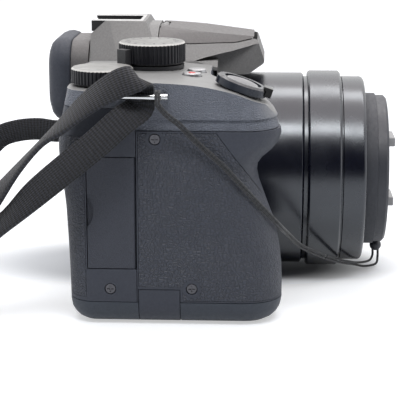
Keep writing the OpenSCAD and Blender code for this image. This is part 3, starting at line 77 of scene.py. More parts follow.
# Materials.
class Shader:
    """A principled material with helpers that add procedural detail."""

    def __init__(self, name, color, rough, **values):
        self.mat = bpy.data.materials.new(name)
        self.mat.use_nodes = True
        self.tree = self.mat.node_tree
        self.out = self.tree.nodes["Principled BSDF"]
        self.color = color
        self.out.inputs["Base Color"].default_value = (*color, 1)
        self.out.inputs["Roughness"].default_value = rough
        self.out.inputs["IOR"].default_value = 1.5
        for key, value in values.items():
            self.out.inputs[key.replace("_", " ")].default_value = value
        self.height = None

    def add(self, kind, **settings):
        node = self.tree.nodes.new(kind)
        for key, value in settings.items():
            setattr(node, key, value)
        return node

    def link(self, a, b):
        self.tree.links.new(a, b)

    def spot(self, scale=(1, 1, 1), source="Object"):
        coords = self.add("ShaderNodeTexCoord")
        mapping = self.add("ShaderNodeMapping")
        mapping.inputs["Scale"].default_value = scale
        self.link(coords.outputs[source], mapping.inputs["Vector"])
        return mapping.outputs["Vector"]

    def noise(self, scale, detail=3, rough=0.55, stretch=(1, 1, 1)):
        node = self.add("ShaderNodeTexNoise")
        node.inputs["Scale"].default_value = scale
        node.inputs["Detail"].default_value = detail
        node.inputs["Roughness"].default_value = rough
        self.link(self.spot(stretch), node.inputs["Vector"])
        return node.outputs["Fac"]

    def ramp(self, value, stops):
        node = self.add("ShaderNodeValToRGB")
        marks = node.color_ramp.elements
        while len(marks) < len(stops):
            marks.new(0.5)
        for mark, (place, color) in zip(marks, stops):
            mark.position = place
            mark.color = (*color, 1)
        self.link(value, node.inputs["Fac"])
        return node.outputs["Color"]

    def tint(self, value, low, high, place=(0.3, 0.7)):
        """Base colour that runs between two shades of the material's own colour."""
        stops = [(place[0], [c * low for c in self.color]), (place[1], [c * high for c in self.color])]
        self.link(self.ramp(value, stops), self.out.inputs["Base Color"])

    def gloss(self, value, low, high, place=(0.3, 0.7)):
        shade = self.ramp(value, [(place[0], [low] * 3), (place[1], [high] * 3)])
        self.link(shade, self.out.inputs["Roughness"])

    def facing(self, axis=(0, 0, 1)):
        """How far the surface faces along an axis of the part itself."""
        coords = self.add("ShaderNodeTexCoord")
        dot = self.add("ShaderNodeVectorMath", operation="DOT_PRODUCT")
        dot.inputs[1].default_value = axis
        self.link(coords.outputs["Normal"], dot.inputs[0])
        return dot.outputs["Value"]

    def between(self, axis, low, high):
        """Runs from 0 to 1 between two places along an axis of the part, in millimetres."""
        split = self.add("ShaderNodeSeparateXYZ")
        self.link(self.spot(), split.inputs["Vector"])
        span = self.add("ShaderNodeMapRange")
        span.inputs["From Min"].default_value = low * MM
        span.inputs["From Max"].default_value = high * MM
        self.link(split.outputs[axis], span.inputs["Value"])
        return span.outputs["Result"]

    def times(self, a, b):
        node = self.add("ShaderNodeMix", data_type="RGBA", blend_type="MULTIPLY")
        node.inputs["Factor"].default_value = 1
        self.link(a, node.inputs["A"])
        self.link(b, node.inputs["B"])
        return node.outputs["Result"]

    def shades(self, value, stops, worn=0.1):
        """Base colour from a ramp, with a faint mottle over it."""
        mottle = self.ramp(self.noise(220, 3), [(0.3, [1 - worn] * 3), (0.7, [1] * 3)])
        self.link(self.times(self.ramp(value, stops), mottle), self.out.inputs["Base Color"])

    def bump(self, value, strength, depth):
        node = self.add("ShaderNodeBump")
        node.inputs["Strength"].default_value = strength
        node.inputs["Distance"].default_value = depth
        self.link(value, node.inputs["Height"])
        if self.height:
            self.link(self.height, node.inputs["Normal"])
        self.height = node.outputs["Normal"]
        self.link(self.height, self.out.inputs["Normal"])


def moulded(name, color, rough):
    """Moulded plastic with a spark-eroded grain."""
    s = Shader(name, color, rough)
    s.tint(s.noise(1500, 3, 0.7), 0.86, 1.14)
    s.gloss(s.noise(900, 2), rough - 0.06, rough + 0.08)
    s.bump(s.noise(2600, 2), 0.25, 0.00012)
    return s.mat


def leather(name, color, rough, cell, depth, lit_top_color=None):
    """Leather grain: rounded cells between creases. Without a top colour, the creases are painted darker as
    shade. With a colour for the lit top, the top faces are painted lighter as light from above and the sides
    darker as shade, and only the sides have the grain.
    """
    s = Shader(name, color, rough)
    warp = s.add("ShaderNodeTexNoise")
    warp.inputs["Scale"].default_value = cell * 0.6
    warp.inputs["Detail"].default_value = 2
    place = s.spot()
    s.link(place, warp.inputs["Vector"])
    shift = s.add("ShaderNodeVectorMath", operation="MULTIPLY_ADD")
    shift.inputs[1].default_value = [0.9 / cell] * 3
    s.link(warp.outputs["Color"], shift.inputs[0])
    s.link(place, shift.inputs[2])
    cells = s.add("ShaderNodeTexVoronoi", feature="DISTANCE_TO_EDGE")
    cells.inputs["Scale"].default_value = cell
    s.link(shift.outputs["Vector"], cells.inputs["Vector"])
    height = s.ramp(cells.outputs["Distance"], [(0, [0] * 3), (0.16, [0.75] * 3), (0.45, [1] * 3)])
    s.gloss(s.noise(60, 3), rough - 0.05, rough + 0.08)
    s.bump(height, depth, 0.0003)
    if lit_top_color:
        # painted light: faces that point up get the pale top colour, the sides get the darker, bluish shade
        # colour
        up = s.facing()
        s.shades(up, [(0.25, color), (0.6, lit_top_color)])
        s.link(s.ramp(up, [(0.2, [depth] * 3), (0.5, [0.02] * 3)]), s.height.node.inputs["Strength"])
    else:
        # painted shade: darker in the creases between the cells, where the grain is lowest
        s.tint(cells.outputs["Distance"], 0.7, 1.05, (0.0, 0.16))
    s.bump(s.noise(3200, 2), 0.2, 0.0001)
    return s.mat


def turned(name, color, rough, **values):
    """Satin paint over fine lathe lines round the lens axis."""
    s = Shader(name, color, rough, **values)
    s.tint(s.noise(26, 3), 0.9, 1.1)
    s.gloss(s.noise(70, 4), rough - 0.04, rough + 0.06)
    s.bump(s.noise(1, 2, stretch=(40, 5200, 40)), 0.12, 0.00008)
    s.bump(s.noise(2400, 2), 0.1, 0.00006)
    return s.mat


def metal(name, color, rough):
    """Metal with fine lines from polishing."""
    stretch = (300, 4000, 300)
    s = Shader(name, color, rough, Metallic=1)
    s.tint(s.noise(45, 3), 0.9, 1.05)
    s.gloss(s.noise(1, 3, stretch=stretch), max(0.04, rough - 0.07), rough + 0.09)
    s.bump(s.noise(1, 2, stretch=stretch), 0.08, 0.00005)
    return s.mat


def glass(name, color, rough):
    """Coated glass that lets part of the light through."""
    s = Shader(name, color, rough, Transmission_Weight=0.4, Coat_Weight=0.6)
    s.tint(s.noise(30, 2), 0.85, 1.1)
    s.gloss(s.noise(160, 3), rough, rough + 0.05)
    return s.mat


def gloss_plastic(name, color, rough):
    """Smooth plastic under a clear coat."""
    s = Shader(name, color, rough, Coat_Weight=0.4)
    s.tint(s.noise(30, 3), 0.85, 1.12)
    s.gloss(s.noise(120, 3), rough, rough + 0.08)
    s.bump(s.noise(900, 2), 0.05, 0.00005)
    return s.mat


def webbing(name, color):
    """Woven nylon: ribs across the band, and threads along it, painted dark in the grooves as shade and pale
    on the ribs as light.
    """
    s = Shader(name, color, 0.78, Sheen_Weight=0.06, Sheen_Roughness=0.5)
    uv = s.spot(source="UV")
    ribs = s.add("ShaderNodeTexWave", wave_type="BANDS", bands_direction="X", wave_profile="SIN")
    ribs.inputs["Scale"].default_value = 25
    ribs.inputs["Distortion"].default_value = 0.5
    ribs.inputs["Detail Scale"].default_value = 2
    s.link(uv, ribs.inputs["Vector"])
    threads = s.add("ShaderNodeTexWave", wave_type="BANDS", bands_direction="Y", wave_profile="SIN")
    threads.inputs["Scale"].default_value = 45
    threads.inputs["Distortion"].default_value = 0.8
    s.link(uv, threads.inputs["Vector"])
    both = s.add("ShaderNodeMix", data_type="FLOAT")
    both.inputs["Factor"].default_value = 0.45
    s.link(ribs.outputs["Fac"], both.inputs["A"])
    s.link(threads.outputs["Fac"], both.inputs["B"])
    # painted shade and light: the colour follows the weave's height, dark in the grooves, pale on the rib
    # tops
    s.tint(both.outputs["Result"], 0.15, 4.0, (0.2, 0.95))
    s.bump(both.outputs["Result"], 0.9, 0.0004)
    s.bump(s.noise(3000, 2), 0.3, 0.0001)
    return s.mat


def braid(name, color):
    """Thin braided cord with slanting threads."""
    s = Shader(name, color, 0.7, Sheen_Weight=0.2)
    wave = s.add("ShaderNodeTexWave", wave_type="BANDS", bands_direction="DIAGONAL")
    wave.inputs["Scale"].default_value = 420
    wave.inputs["Distortion"].default_value = 1
    s.link(s.spot(), wave.inputs["Vector"])
    # painted shade: the colour follows the threads' height, darker in the grooves and paler on the tops
    s.tint(wave.outputs["Fac"], 0.6, 1.3)
    s.bump(wave.outputs["Fac"], 0.5, 0.0002)
    return s.mat


def painted_light_by_facing(name, side, rim_highlight, top, axis=(0, 0, 1)):
    """Painted light, told apart by the way the surface faces: a dark side, a painted highlight on the thin
    rim and a paler top painted as light from above.
    """
    s = Shader(name, side, 0.38)
    up = s.facing(axis)
    s.shades(up, [(0.25, side), (0.45, rim_highlight), (0.86, rim_highlight), (0.96, top)])
    s.gloss(s.noise(300, 3), 0.3, 0.48)
    s.bump(s.noise(1800, 2), 0.12, 0.00008)
    return s.mat


def lever_with_painted_highlight(name, tab_y):
    """Dark gloss ring with a painted highlight on its bevel, told apart by the way the surface faces, and a
    black finger tab in front of a place along Y.
    """
    s = Shader(name, (0.05, 0.054, 0.064), 0.3, IOR=1.35)
    # painted highlight: the bevel between side and top is paler, by the way the surface faces
    ring = s.ramp(s.facing(SHUTTER_AXIS), [
        (0.3, (0.025, 0.03, 0.042)), (0.6, (0.14, 0.14, 0.148)),
        (0.9, (0.1, 0.1, 0.106)), (0.97, (0.045, 0.047, 0.055)),
    ])
    tab = s.ramp(s.between("Y", tab_y - 0.3, tab_y + 0.3), [(0.2, [0.03] * 3), (0.8, [1] * 3)])
    mottle = s.ramp(s.noise(400, 3), [(0.3, [0.88] * 3), (0.7, [1] * 3)])
    s.link(s.times(s.times(ring, tab), mottle), s.out.inputs["Base Color"])
    s.gloss(s.noise(260, 3), 0.2, 0.34)
    s.bump(s.noise(1600, 2), 0.05, 0.00005)
    return s.mat


SHUTTER_TILT = math.radians(19)
SHUTTER_AXIS = (0, -math.sin(SHUTTER_TILT), math.cos(SHUTTER_TILT))
LEVER_TAB_Y = -31.4
COATING = {"IOR": 1.7, "Specular_Tint": (0.9, 0.95, 1, 1)}
PAINT = {
    "body": moulded("body_plastic", (0.031, 0.036, 0.051), 0.58),
    "deck": moulded("deck_plastic", (0.165, 0.163, 0.163), 0.5),
    "lid": moulded("lid_plastic", (0.096, 0.091, 0.092), 0.55),
    "base": moulded("base_plastic", (0.034, 0.042, 0.057), 0.58),
    "door": leather("door_plastic", (0.036, 0.041, 0.057), 0.58, 1900, 0.35),
    # top cover: top faces painted pale as light from above, sides darker and bluish as painted shade
    "cover": leather("cover_plastic", (0.135, 0.150, 0.185), 0.44, 1300, 0.75, (0.23, 0.232, 0.233)),
    "grip": leather("grip_rubber", (0.037, 0.043, 0.060), 0.52, 950, 0.9),
    "rubber": moulded("soft_rubber", (0.034, 0.039, 0.053), 0.68),
    "barrel": turned("barrel_satin", (0.001, 0.0015, 0.007), 0.23, **COATING),
    "ring": turned("ring_satin", (0.001, 0.0015, 0.007), 0.25, **COATING),
    "dial": moulded("dial_plastic", (0.009, 0.0095, 0.012), 0.45),
    # dials and shutter button: pale tops painted as light from above, thin rims as painted highlights
    "mode": painted_light_by_facing("mode_dial_painted_light", (0.003, 0.0035, 0.007), (0.6, 0.59, 0.57), (0.175, 0.173, 0.167)),
    "wheel": painted_light_by_facing("rear_dial_painted_light", (0.003, 0.0035, 0.007), (0.55, 0.54, 0.52), (0.22, 0.218, 0.212)),
    "button": painted_light_by_facing("shutter_painted_light", (0.03, 0.032, 0.038), [0.42] * 3, (0.19, 0.19, 0.2), SHUTTER_AXIS),
    "lever": lever_with_painted_highlight("lever_gloss", LEVER_TAB_Y),
    # hot shoe: metal painted dark on its sides as shade and pale on top as light from above
    "shoe": painted_light_by_facing("shoe_painted_light", (0.008, 0.008, 0.01), (0.1, 0.1, 0.105), (0.5, 0.5, 0.5)),
    "silver": metal("silver_trim", (0.42, 0.42, 0.43), 0.36),
    "chrome": metal("chrome", (0.52, 0.53, 0.54), 0.16),
    "steel": metal("steel", (0.55, 0.56, 0.57), 0.34),
    "dark_metal": metal("dark_metal", (0.10, 0.10, 0.11), 0.4),
    "glass": glass("coated_glass", (0.06, 0.07, 0.10), 0.03),
    "cap": moulded("cap_plastic", (0.028, 0.031, 0.040), 0.48),
    "tube": moulded("tube_plastic", (0.030, 0.033, 0.042), 0.6),
    "pad": moulded("cap_pad", (0.32, 0.32, 0.33), 0.4),
    "screen": gloss_plastic("screen_gloss", (0.008, 0.009, 0.011), 0.08),
    "inner": moulded("inner_plastic", (0.02, 0.02, 0.022), 0.6),
    "board": moulded("circuit_board", (0.03, 0.10, 0.05), 0.5),
    "cell": gloss_plastic("cell_film", (0.02, 0.02, 0.022), 0.35),
    "webbing": webbing("strap_webbing", (0.005, 0.0055, 0.0078)),
    "cord": braid("tether_braid", (0.018, 0.019, 0.022)),
    "red": gloss_plastic("red_dot", (0.55, 0.03, 0.03), 0.3),
    "mark": moulded("dial_mark", (0.05, 0.05, 0.052), 0.5),
}


def paint(obj, key):
    obj.data.materials.clear()
    obj.data.materials.append(PAINT[key])
    return obj


def edge(obj, width):
    """Softens the moulded edges of a solid; the mesh itself stays as it is."""
    weld = obj.modifiers.new("weld", "WELD")
    weld.merge_threshold = 0.00002
    flat = obj.modifiers.new("flat", "DECIMATE")
    flat.decimate_type = "DISSOLVE"
    flat.angle_limit = math.radians(0.5)
    bevel = obj.modifiers.new("edge", "BEVEL")
    bevel.width = width * MM
    bevel.segments = 2
    bevel.limit_method = "ANGLE"
    bevel.angle_limit = math.radians(38)
    bevel.use_clamp_overlap = True
    obj.data.shade_smooth()
    even = obj.modifiers.new("even", "WEIGHTED_NORMAL")
    even.keep_sharp = False


FINISH = {
    "front_shell": ("body", 0.25), "rear_shell": ("body", 0.25), "top_cover": ("cover", 0.4),
    "base_cover": ("base", 0.25), "grip_skin": ("grip", 0.15), "thumb_skin": ("grip", 0.15),
    "hump_housing": ("deck", 0.5), "eyepiece_frame": ("lid", 0.4), "eyecup": ("rubber", 0.6),
    "eyepiece_glass": ("glass", 0.1), "evf_module": ("inner", 0.2), "hot_shoe": ("shoe", 0.15),
    "lens_barrel": ("barrel", 0.2), "barrel_ring": ("ring", 0.2), "front_ring": ("ring", 0.2),
    "lens_base": ("inner", 0.2), "guide_sleeve": ("inner", 0.1), "image_sensor": ("board", 0.1),
    "main_board": ("board", 0.1), "battery": ("cell", 0.5), "memory_card": ("cell", 0.2),
    "card_slot": ("steel", 0.1), "tripod_socket": ("steel", 0.3), "shell_screws": ("dark_metal", 0.1),
    "strap_lugs": ("chrome", 0.2), "control_frame": ("inner", 0.2), "zoom_motor": ("steel", 0.2),
    "side_sockets": ("steel", 0.15), "mode_dial": ("mode", 0.1), "power_lever": ("dial", 0.3),
    "rear_dial": ("wheel", 0.1), "shutter_button": ("button", 0.3), "zoom_lever": ("lever", 0.3),
    "movie_button": ("silver", 0.3), "function_button": ("silver", 0.3), "flash_head": ("lid", 0.4),
    "flash_window": ("glass", 0.1), "lens_tube": ("tube", 0.2), "front_element": ("glass", 0.1),
    "zoom_group": ("glass", 0.2), "lens_cap": ("cap", 0.3), "cap_tab_upper": ("pad", 0.4),
    "cap_tab_lower": ("pad", 0.4), "card_door": ("door", 0.25), "dc_cover": ("body", 0.25),
    "monitor": ("body", 0.5), "monitor_screen": ("screen", 0.1), "battery_door": ("base", 0.2),
    "battery_latch": ("dial", 0.15), "port_door": ("body", 0.25), "diopter_wheel": ("dial", 0.15),
    "cursor_pad": ("dial", 0.4), "set_button": ("dial", 0.3), "playback_button": ("dial", 0.3),
    "strap_sliders": ("dial", 0.5),
}
for name, (key, width) in FINISH.items():
    edge(paint(nodes[name], key), width)


# Mesh helpers.
def grid_faces(rings, count):
    """Quads between one closed ring of points and the next."""
    faces = []
    for i in range(rings - 1):
        for k in range(count):
            a, b = i * count + k, i * count + (k + 1) % count
            faces.append((a, b, b + count, a + count))
    return faces


def new_object(name, verts, faces, key, body, smooth=True):
    """Object with one material, which rides on a body where one is named."""
    mesh = bpy.data.meshes.new(name)
    mesh.from_pydata([tuple(v) for v in verts], [], faces)
    mesh.update()
    if smooth:
        mesh.shade_smooth()
    obj = bpy.data.objects.new(name, mesh)
    scene.collection.objects.link(obj)
    paint(obj, key)
    if body:
        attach(obj, body)
    return obj


# Small printed and inlaid pieces.
def top_of(name):
    """Middle of the top of a part's box, in millimetres."""
    corners = [Vector(c) / MM for c in nodes[name].bound_box]
    x, y = (sum(c[k] for c in corners) / 8 for k in (0, 1))
    return Vector((x, y, max(c.z for c in corners)))


def dome(name, middle, r, h, key, body, count=28, steps=5):
    """Low dome that sits a little way into the face below it."""
    profile = [(r, -0.1)]
    for k in range(steps):
        a = math.pi / 2 * k / steps
        profile.append((r * math.cos(a), h * math.sin(a)))
    verts = []
    for p, q in profile:
        for k in range(count):
            a = 2 * math.pi * k / count
            verts.append((middle + Vector((p * math.cos(a), p * math.sin(a), q))) * MM)
    verts.append((middle + Vector((0, 0, h))) * MM)
    faces = grid_faces(len(profile), count)
    last = (len(profile) - 1) * count
    faces += [(last + k, last + (k + 1) % count, len(verts) - 1) for k in range(count)]
    faces.append(tuple(range(count))[::-1])
    new_object(name, verts, faces, key, body)


def add_marks():
    """Plain strokes round the mode dial, and the red dot on the movie button."""
    middle = top_of("mode_dial")
    strokes, start, outer, half, height = 16, 9, 8.9, 0.32, 0.03
    verts, faces = [], []
    for k in range(strokes):
        a = math.radians(360 / strokes * k + start)
        out, along = Vector((math.cos(a), math.sin(a), 0)), Vector((-math.sin(a), math.cos(a), 0))
        inner = outer - (1.1 if k % 4 else 1.9)
        first = len(verts)
        for lift in (-height, height):
            for r, w in ((outer, half), (inner, half), (inner, -half), (outer, -half)):
                verts.append((middle + out * r + along * w + Vector((0, 0, lift))) * MM)
        faces += [[first + i for i in f] for f in (
            (3, 2, 1, 0), (4, 5, 6, 7), (0, 1, 5, 4), (1, 2, 6, 5), (2, 3, 7, 6), (3, 0, 4, 7))]
    new_object("mode_marks", verts, faces, "mark", "mode_dial", smooth=False)
    dome("record_dot", top_of("movie_button"), 1.2, 0.28, "red", "movie_button")


add_marks()


# Smooth lines through the points of a soft route.
def through(a, b, c, d, t):
    """Point on the smooth curve from b to c, with a before and d after them."""
    square = (2 * a - 5 * b + 4 * c - d) * t * t
    cube = (3 * b - a - 3 * c + d) * t ** 3
    return 0.5 * (2 * b + (c - a) * t + square + cube)


def smooth_line(points, steps):
    """Line through all the points, with a number of steps from each to the next."""
    n = len(points) - 1
    line = []
    for i in range(n):
        for k in range(steps):
            a, d = points[max(i - 1, 0)], points[min(i + 2, n)]
            line.append(through(a, points[i], points[i + 1], d, k / steps))
    return line + [points[n]]


# Neck strap: one band of webbing from the tail in the near slider to the tail in the far one.
X_GRIP, X_PORT, LUG_Y, LUG_Z = -74.0, 57.0, 5.35, 74.4
NEAR_BAR, FAR_BAR = X_GRIP - 4.4, X_PORT + 4.4
STRAP_W, STRAP_T, LAYER = 9.0, 1.4, 1.5
COIL_Y, COIL_HEART, COIL_PITCH, COIL_STEPS = 115, 12.0, 4.0, 24
NEAR_TURNS, FAR_TURNS = 3, 2.75


def slider_frame(pitch, yaw):
    """Axes of a slider: along the strap, across the layers and across the band."""
    p, y = math.radians(pitch), math.radians(yaw)
    way = Vector((math.cos(p) * math.cos(y), math.cos(p) * math.sin(y), -math.sin(p)))
    up = Vector((math.sin(p) * math.cos(y), math.sin(p) * math.sin(y), math.cos(p)))
    side = Vector((-math.sin(y), math.cos(y), 0))
    return way, side, up


def in_slider(place, axes, layer, steps):
    """Rows of the band inside a slider, on one of its two layers."""
    way, side, up = axes
    return [(Vector(place) + way * k + side * layer, up) for k in steps]


def rows(*items):
    """Each row is a place on the route and a direction across the route there."""
    return [(Vector(p), Vector(w)) for p, w in items]


def coil_radius(turns):
    return COIL_HEART + 2 * COIL_PITCH * turns


def coil_arm(turns, phase):
    """One of the two spirals, from the heart outwards."""
    count = round(COIL_STEPS * turns)
    points = []
    for i in range(count + 1):
        t = turns * i / count
        r, a = coil_radius(t), math.radians(360 * t + phase)
        points.append((r * math.cos(a), COIL_Y + r * math.sin(a)))
    return points


def coil_heart(side):
    """Half turn at the middle of the coil, on one side of it."""
    half = COIL_HEART / 2
    points = []
    for step in range(30, 151, 30):
        a = math.radians(step)
        points.append((side * half - half * math.cos(a), COIL_Y - side * half * math.sin(a)))
    return points


def coil_rows():
    """Flat roll with the webbing on edge: in along one spiral, through the heart, out along the other."""
    plan = coil_arm(NEAR_TURNS, 180)[::-1] + coil_heart(-1) + [(0, COIL_Y)]
    plan += coil_heart(1) + coil_arm(FAR_TURNS, 0)
    return [(Vector((x, y, STRAP_W / 2 + 0.2)), Vector((0, 0, 1))) for x, y in plan]


def strap_rows():
    """Places along the strap from tail to tail, each with the way that its width points."""
    near, far = slider_frame(48, 78), slider_frame(40, 84)
    near_at, far_at = (X_GRIP - 2, 72, 15), (X_PORT + 9, 34, 46)
    near_tail = in_slider(near_at, near, LAYER, [9, 5, -5, -10]) + rows(
        ((NEAR_BAR - 2.1, LUG_Y + 44.6, LUG_Z - 40.4), (0.85, 0.36, 0.38)),
        ((NEAR_BAR - 4.1, LUG_Y + 32.9, LUG_Z - 29.6), (0.45, 0.6, 0.66)),
        ((NEAR_BAR - 6, LUG_Y + 21.8, LUG_Z - 20.2), (0.12, 0.66, 0.74)),
        ((NEAR_BAR - 6, LUG_Y + 13.5, LUG_Z - 13.4), (0, 0.66, 0.75)),
        ((NEAR_BAR - 3.6, LUG_Y + 6, LUG_Z - 6.8), (0, 0.7, 0.71)),
        ((NEAR_BAR + 1.7, LUG_Y + 1.15, LUG_Z - 3.6), (0, 0.95, 0.3)),
    )
    near_run = rows(
        ((NEAR_BAR + 1.8, LUG_Y + 1.15, LUG_Z + 0.6), (0, 1, 0)),
        ((NEAR_BAR + 1.3, LUG_Y + 1.15, LUG_Z + 3.4), (0, 0.94, 0.34)),
        ((NEAR_BAR - 0.2, LUG_Y + 1.3, LUG_Z + 5.4), (0.05, 0.78, 0.62)),
        ((NEAR_BAR - 2.2, LUG_Y + 3.7, LUG_Z + 5.5), (0.2, 0.7, 0.68)),
        ((NEAR_BAR - 2.6, LUG_Y + 8.3, LUG_Z + 3.7), (0.42, 0.61, 0.67)),
        ((NEAR_BAR - 2.6, LUG_Y + 16.2, LUG_Z - 1.4), (0.77, 0.43, 0.48)),
        ((NEAR_BAR - 1.9, LUG_Y + 24.2, LUG_Z - 8.5), (0.93, 0.24, 0.27)),
        ((NEAR_BAR - 0.9, LUG_Y + 30.6, LUG_Z - 13.9), (1, 0.06, 0.07)),
        ((NEAR_BAR + 0.1, LUG_Y + 38.2, LUG_Z - 22.2), (0.98, 0.12, 0.13)),
        ((NEAR_BAR + 0.8, LUG_Y + 44.9, LUG_Z - 30.5), (0.9, 0.3, 0.33)),
        ((NEAR_BAR + 1.2, LUG_Y + 51.6, LUG_Z - 38.9), (0.66, 0.5, 0.55)),
    ) + in_slider(near_at, near, -LAYER, [-10, -5, 5, 10]) + rows(
        ((X_GRIP + 4.5, 86, 5.9), (0.05, 0.3, 0.95)),
        ((X_GRIP + 14, 95, STRAP_W / 2 + 0.5), (0, 0.05, 1)),
        ((X_GRIP + 28, 103, STRAP_W / 2 + 0.6), (0, 0, 1)),
    )
    far_run = rows(
        ((20, COIL_Y - coil_radius(FAR_TURNS) - 0.6, STRAP_W / 2 + 0.4), (0, 0, 1)),
        ((X_PORT - 15, 83, 8), (0, 0, 1)),
        ((X_PORT, 84, 16), (0, 0.1, 1)),
        ((X_PORT + 6, 82, 27.5), (0, 0.15, 1)),
        ((X_PORT + 9, 76.8, 34), (0, 0.3, 0.95)),
        ((X_PORT + 10, 69.5, 36.6), (0, 0.3, 0.95)),
        ((X_PORT + 10.2, 61, 37.4), (0, 0.3, 0.95)),
        ((X_PORT + 10.4, 52, 36.6), (0, 0.5, 0.85)),
    ) + in_slider(far_at, far, -LAYER, [10, 5, -5, -10]) + rows(
        ((FAR_BAR + 4, 18, 67), (0, 0.7, 0.7)),
        ((FAR_BAR + 1.8, LUG_Y + 5, LUG_Z + 4.4), (0, 0.95, 0.3)),
        ((FAR_BAR - 1.8, LUG_Y + 0.6, LUG_Z + 3), (0, 1, 0)),
    )
    far_tail = rows(
        ((FAR_BAR - 2.2, LUG_Y, LUG_Z - 1.6), (0, 1, 0)),
        ((FAR_BAR - 1.4, LUG_Y + 4, LUG_Z - 7), (0, 0.95, 0.3)),
        ((FAR_BAR + 0.6, 20, 57.6), (0, 0.7, 0.7)),
    ) + in_slider(far_at, far, LAYER, [-10, -5, 5, 9])
    return near_tail + near_run + coil_rows() + far_run + far_tail


def band(name, places, widths, width, thick, key):
    """Flat band with rounded edges; its UV runs along and across it, in metres times ten."""
    w, t = width / 2, thick / 2
    ring = [(-w + 0.35 * t, -t), (0, -t), (w - 0.35 * t, -t), (w, -0.4 * t), (w, 0.4 * t),
            (w - 0.35 * t, t), (0, t), (-w + 0.35 * t, t), (-w, 0.4 * t), (-w, -0.4 * t)]
    n, m = len(places), len(ring)
    verts, run = [], [0.0]
    for i in range(n):
        way = (places[min(i + 1, n - 1)] - places[max(i - 1, 0)]).normalized()
        across = (widths[i] - way * widths[i].dot(way)).normalized()
        out = way.cross(across)
        verts += [(places[i] + across * a + out * b) * MM for a, b in ring]
        if i:
            run.append(run[-1] + (places[i] - places[i - 1]).length * MM)
    faces = grid_faces(n, m)
    faces += [tuple(range(m))[::-1], tuple(range((n - 1) * m, n * m))]
    obj = new_object(name, verts, faces, key, "camera")
    layer = obj.data.uv_layers.new(name="run")
    for loop in obj.data.loops:
        i, j = divmod(loop.vertex_index, m)
        layer.data[loop.index].uv = (run[i] * 10, ring[j][0] * MM * 10)
    return obj


def add_strap():
    table = strap_rows()
    places = smooth_line([p for p, _ in table], 6)
    widths = smooth_line([w for _, w in table], 6)
    strap = band("strap", places, widths, STRAP_W, STRAP_T, "webbing")
    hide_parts("neck_strap")


add_strap()


# Tether: two strands from the strap bar, then a loop through the bead under the cap.
TETHER_D = 0.85
STRAND_SHIFT = (TETHER_D + 0.1) / 2
STRAND_SIDE = Vector((0, 0.55, -0.83))


def tube(name, line, sides=10):
    """Round cord along a line; no body carries it."""
    n = len(line)
    verts = []
    for i in range(n):
        way = (line[min(i + 1, n - 1)] - line[max(i - 1, 0)]).normalized()
        u = Vector((1, 0.15, 0)).cross(way).normalized()
        v = way.cross(u)
        for k in range(sides):
            a = 2 * math.pi * k / sides
            verts.append((line[i] + (u * math.cos(a) + v * math.sin(a)) * TETHER_D / 2) * MM)
    faces = grid_faces(n, sides)
    faces += [tuple(range(sides))[::-1], tuple(range((n - 1) * sides, n * sides))]
    return new_object(name, verts, faces, "cord", None)


def tether_rows():
    """Places along the tether, each with the way from one strand to the other."""
    return rows(
        ((NEAR_BAR + 1.5, LUG_Y - 4.6, LUG_Z - 1.4), (0, 1, 0)),
        ((NEAR_BAR + 1.2, LUG_Y - 4.6, LUG_Z + 1.2), (0, 1, 0)),
        ((NEAR_BAR - 0.9, LUG_Y - 4.6, LUG_Z + 1.7), (0, 1, 0)),
        ((NEAR_BAR - 2, LUG_Y - 4.7, LUG_Z - 0.6), (0, 1, -0.1)),
        ((NEAR_BAR - 2.1, LUG_Y - 4.9, LUG_Z - 2.1), (0, 1, -0.3)),
        ((NEAR_BAR - 1.2, LUG_Y - 7.4, LUG_Z - 5.3), (0, 0.7, -0.7)),
        ((NEAR_BAR + 0.2, LUG_Y - 11.3, LUG_Z - 8.7), (0, 0.62, -0.78)),
        ((X_GRIP - 2, -12.1, 59), STRAND_SIDE),
        ((X_GRIP - 1.3, -19.8, 51.9), STRAND_SIDE),
        ((X_GRIP + 1.6, -27.6, 42.7), STRAND_SIDE),
        ((X_GRIP + 8, -36.4, 31.9), STRAND_SIDE),
        ((X_GRIP + 22, -40, 24.9), STRAND_SIDE),
        ((X_GRIP + 34, -44.6, 17.8), STRAND_SIDE),
        ((X_GRIP + 46, -53.3, 10.8), STRAND_SIDE),
    )


def add_strands():
    """Two strands side by side; their front part follows the lens tube."""
    table = tether_rows()
    place = smooth_line([p for p, _ in table], 8)
    way = smooth_line([w.normalized() for _, w in table], 8)
    for k, s in enumerate((-1, 1)):
        line = [p + w * s * STRAND_SHIFT for p, w in zip(place, way)]
        strand = tube(f"tether_strand_{k + 1}", line)
        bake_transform(strand)
        if k == 0:
            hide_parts("tether_cord")


def add_bight():
    """Loop from the end of one strand, through the bead and back to the other."""
    bead_y, bead_z, hang = -72.8, 8.0, 0.95
    out = [Vector(p) for p in (
        (X_GRIP + 46.1, -53.4, 10.7), (X_GRIP + 51.5, -57.5, 8.1), (X_GRIP + 57, -61.2, 5.9))]
    turn = [Vector(p) for p in (
        (-9, bead_y + 7, 3.6), (-2, bead_y + 2.4, 2.4), (0, bead_y + hang, 4),
        (0, bead_y + hang, bead_z - 1.4), (0, bead_y + hang, bead_z), (0, bead_y, bead_z + 0.4),
        (0, bead_y - hang, bead_z), (0, bead_y - hang, bead_z - 1.4), (0, bead_y - hang, 3.2),
        (-1, bead_y - 0.2, 1), (-4, bead_y + 4, 0.9), (-9, bead_y + 8, 2.9))]
    shift = STRAND_SIDE.normalized() * STRAND_SHIFT
    line = smooth_line([p - shift for p in out] + turn + [p + shift for p in out[::-1]], 6)
    loop = tube("tether_bight", line)
    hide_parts("tether_loop")
    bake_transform(loop)


add_strands()
add_bight()


# Floor, light and surroundings.
def set_range(node, from_min, from_max, to_min, to_max):
    """Both ends of a map range node."""
    ends = {"From Min": from_min, "From Max": from_max, "To Min": to_min, "To Max": to_max}
    for key, value in ends.items():
        node.inputs[key].default_value = value


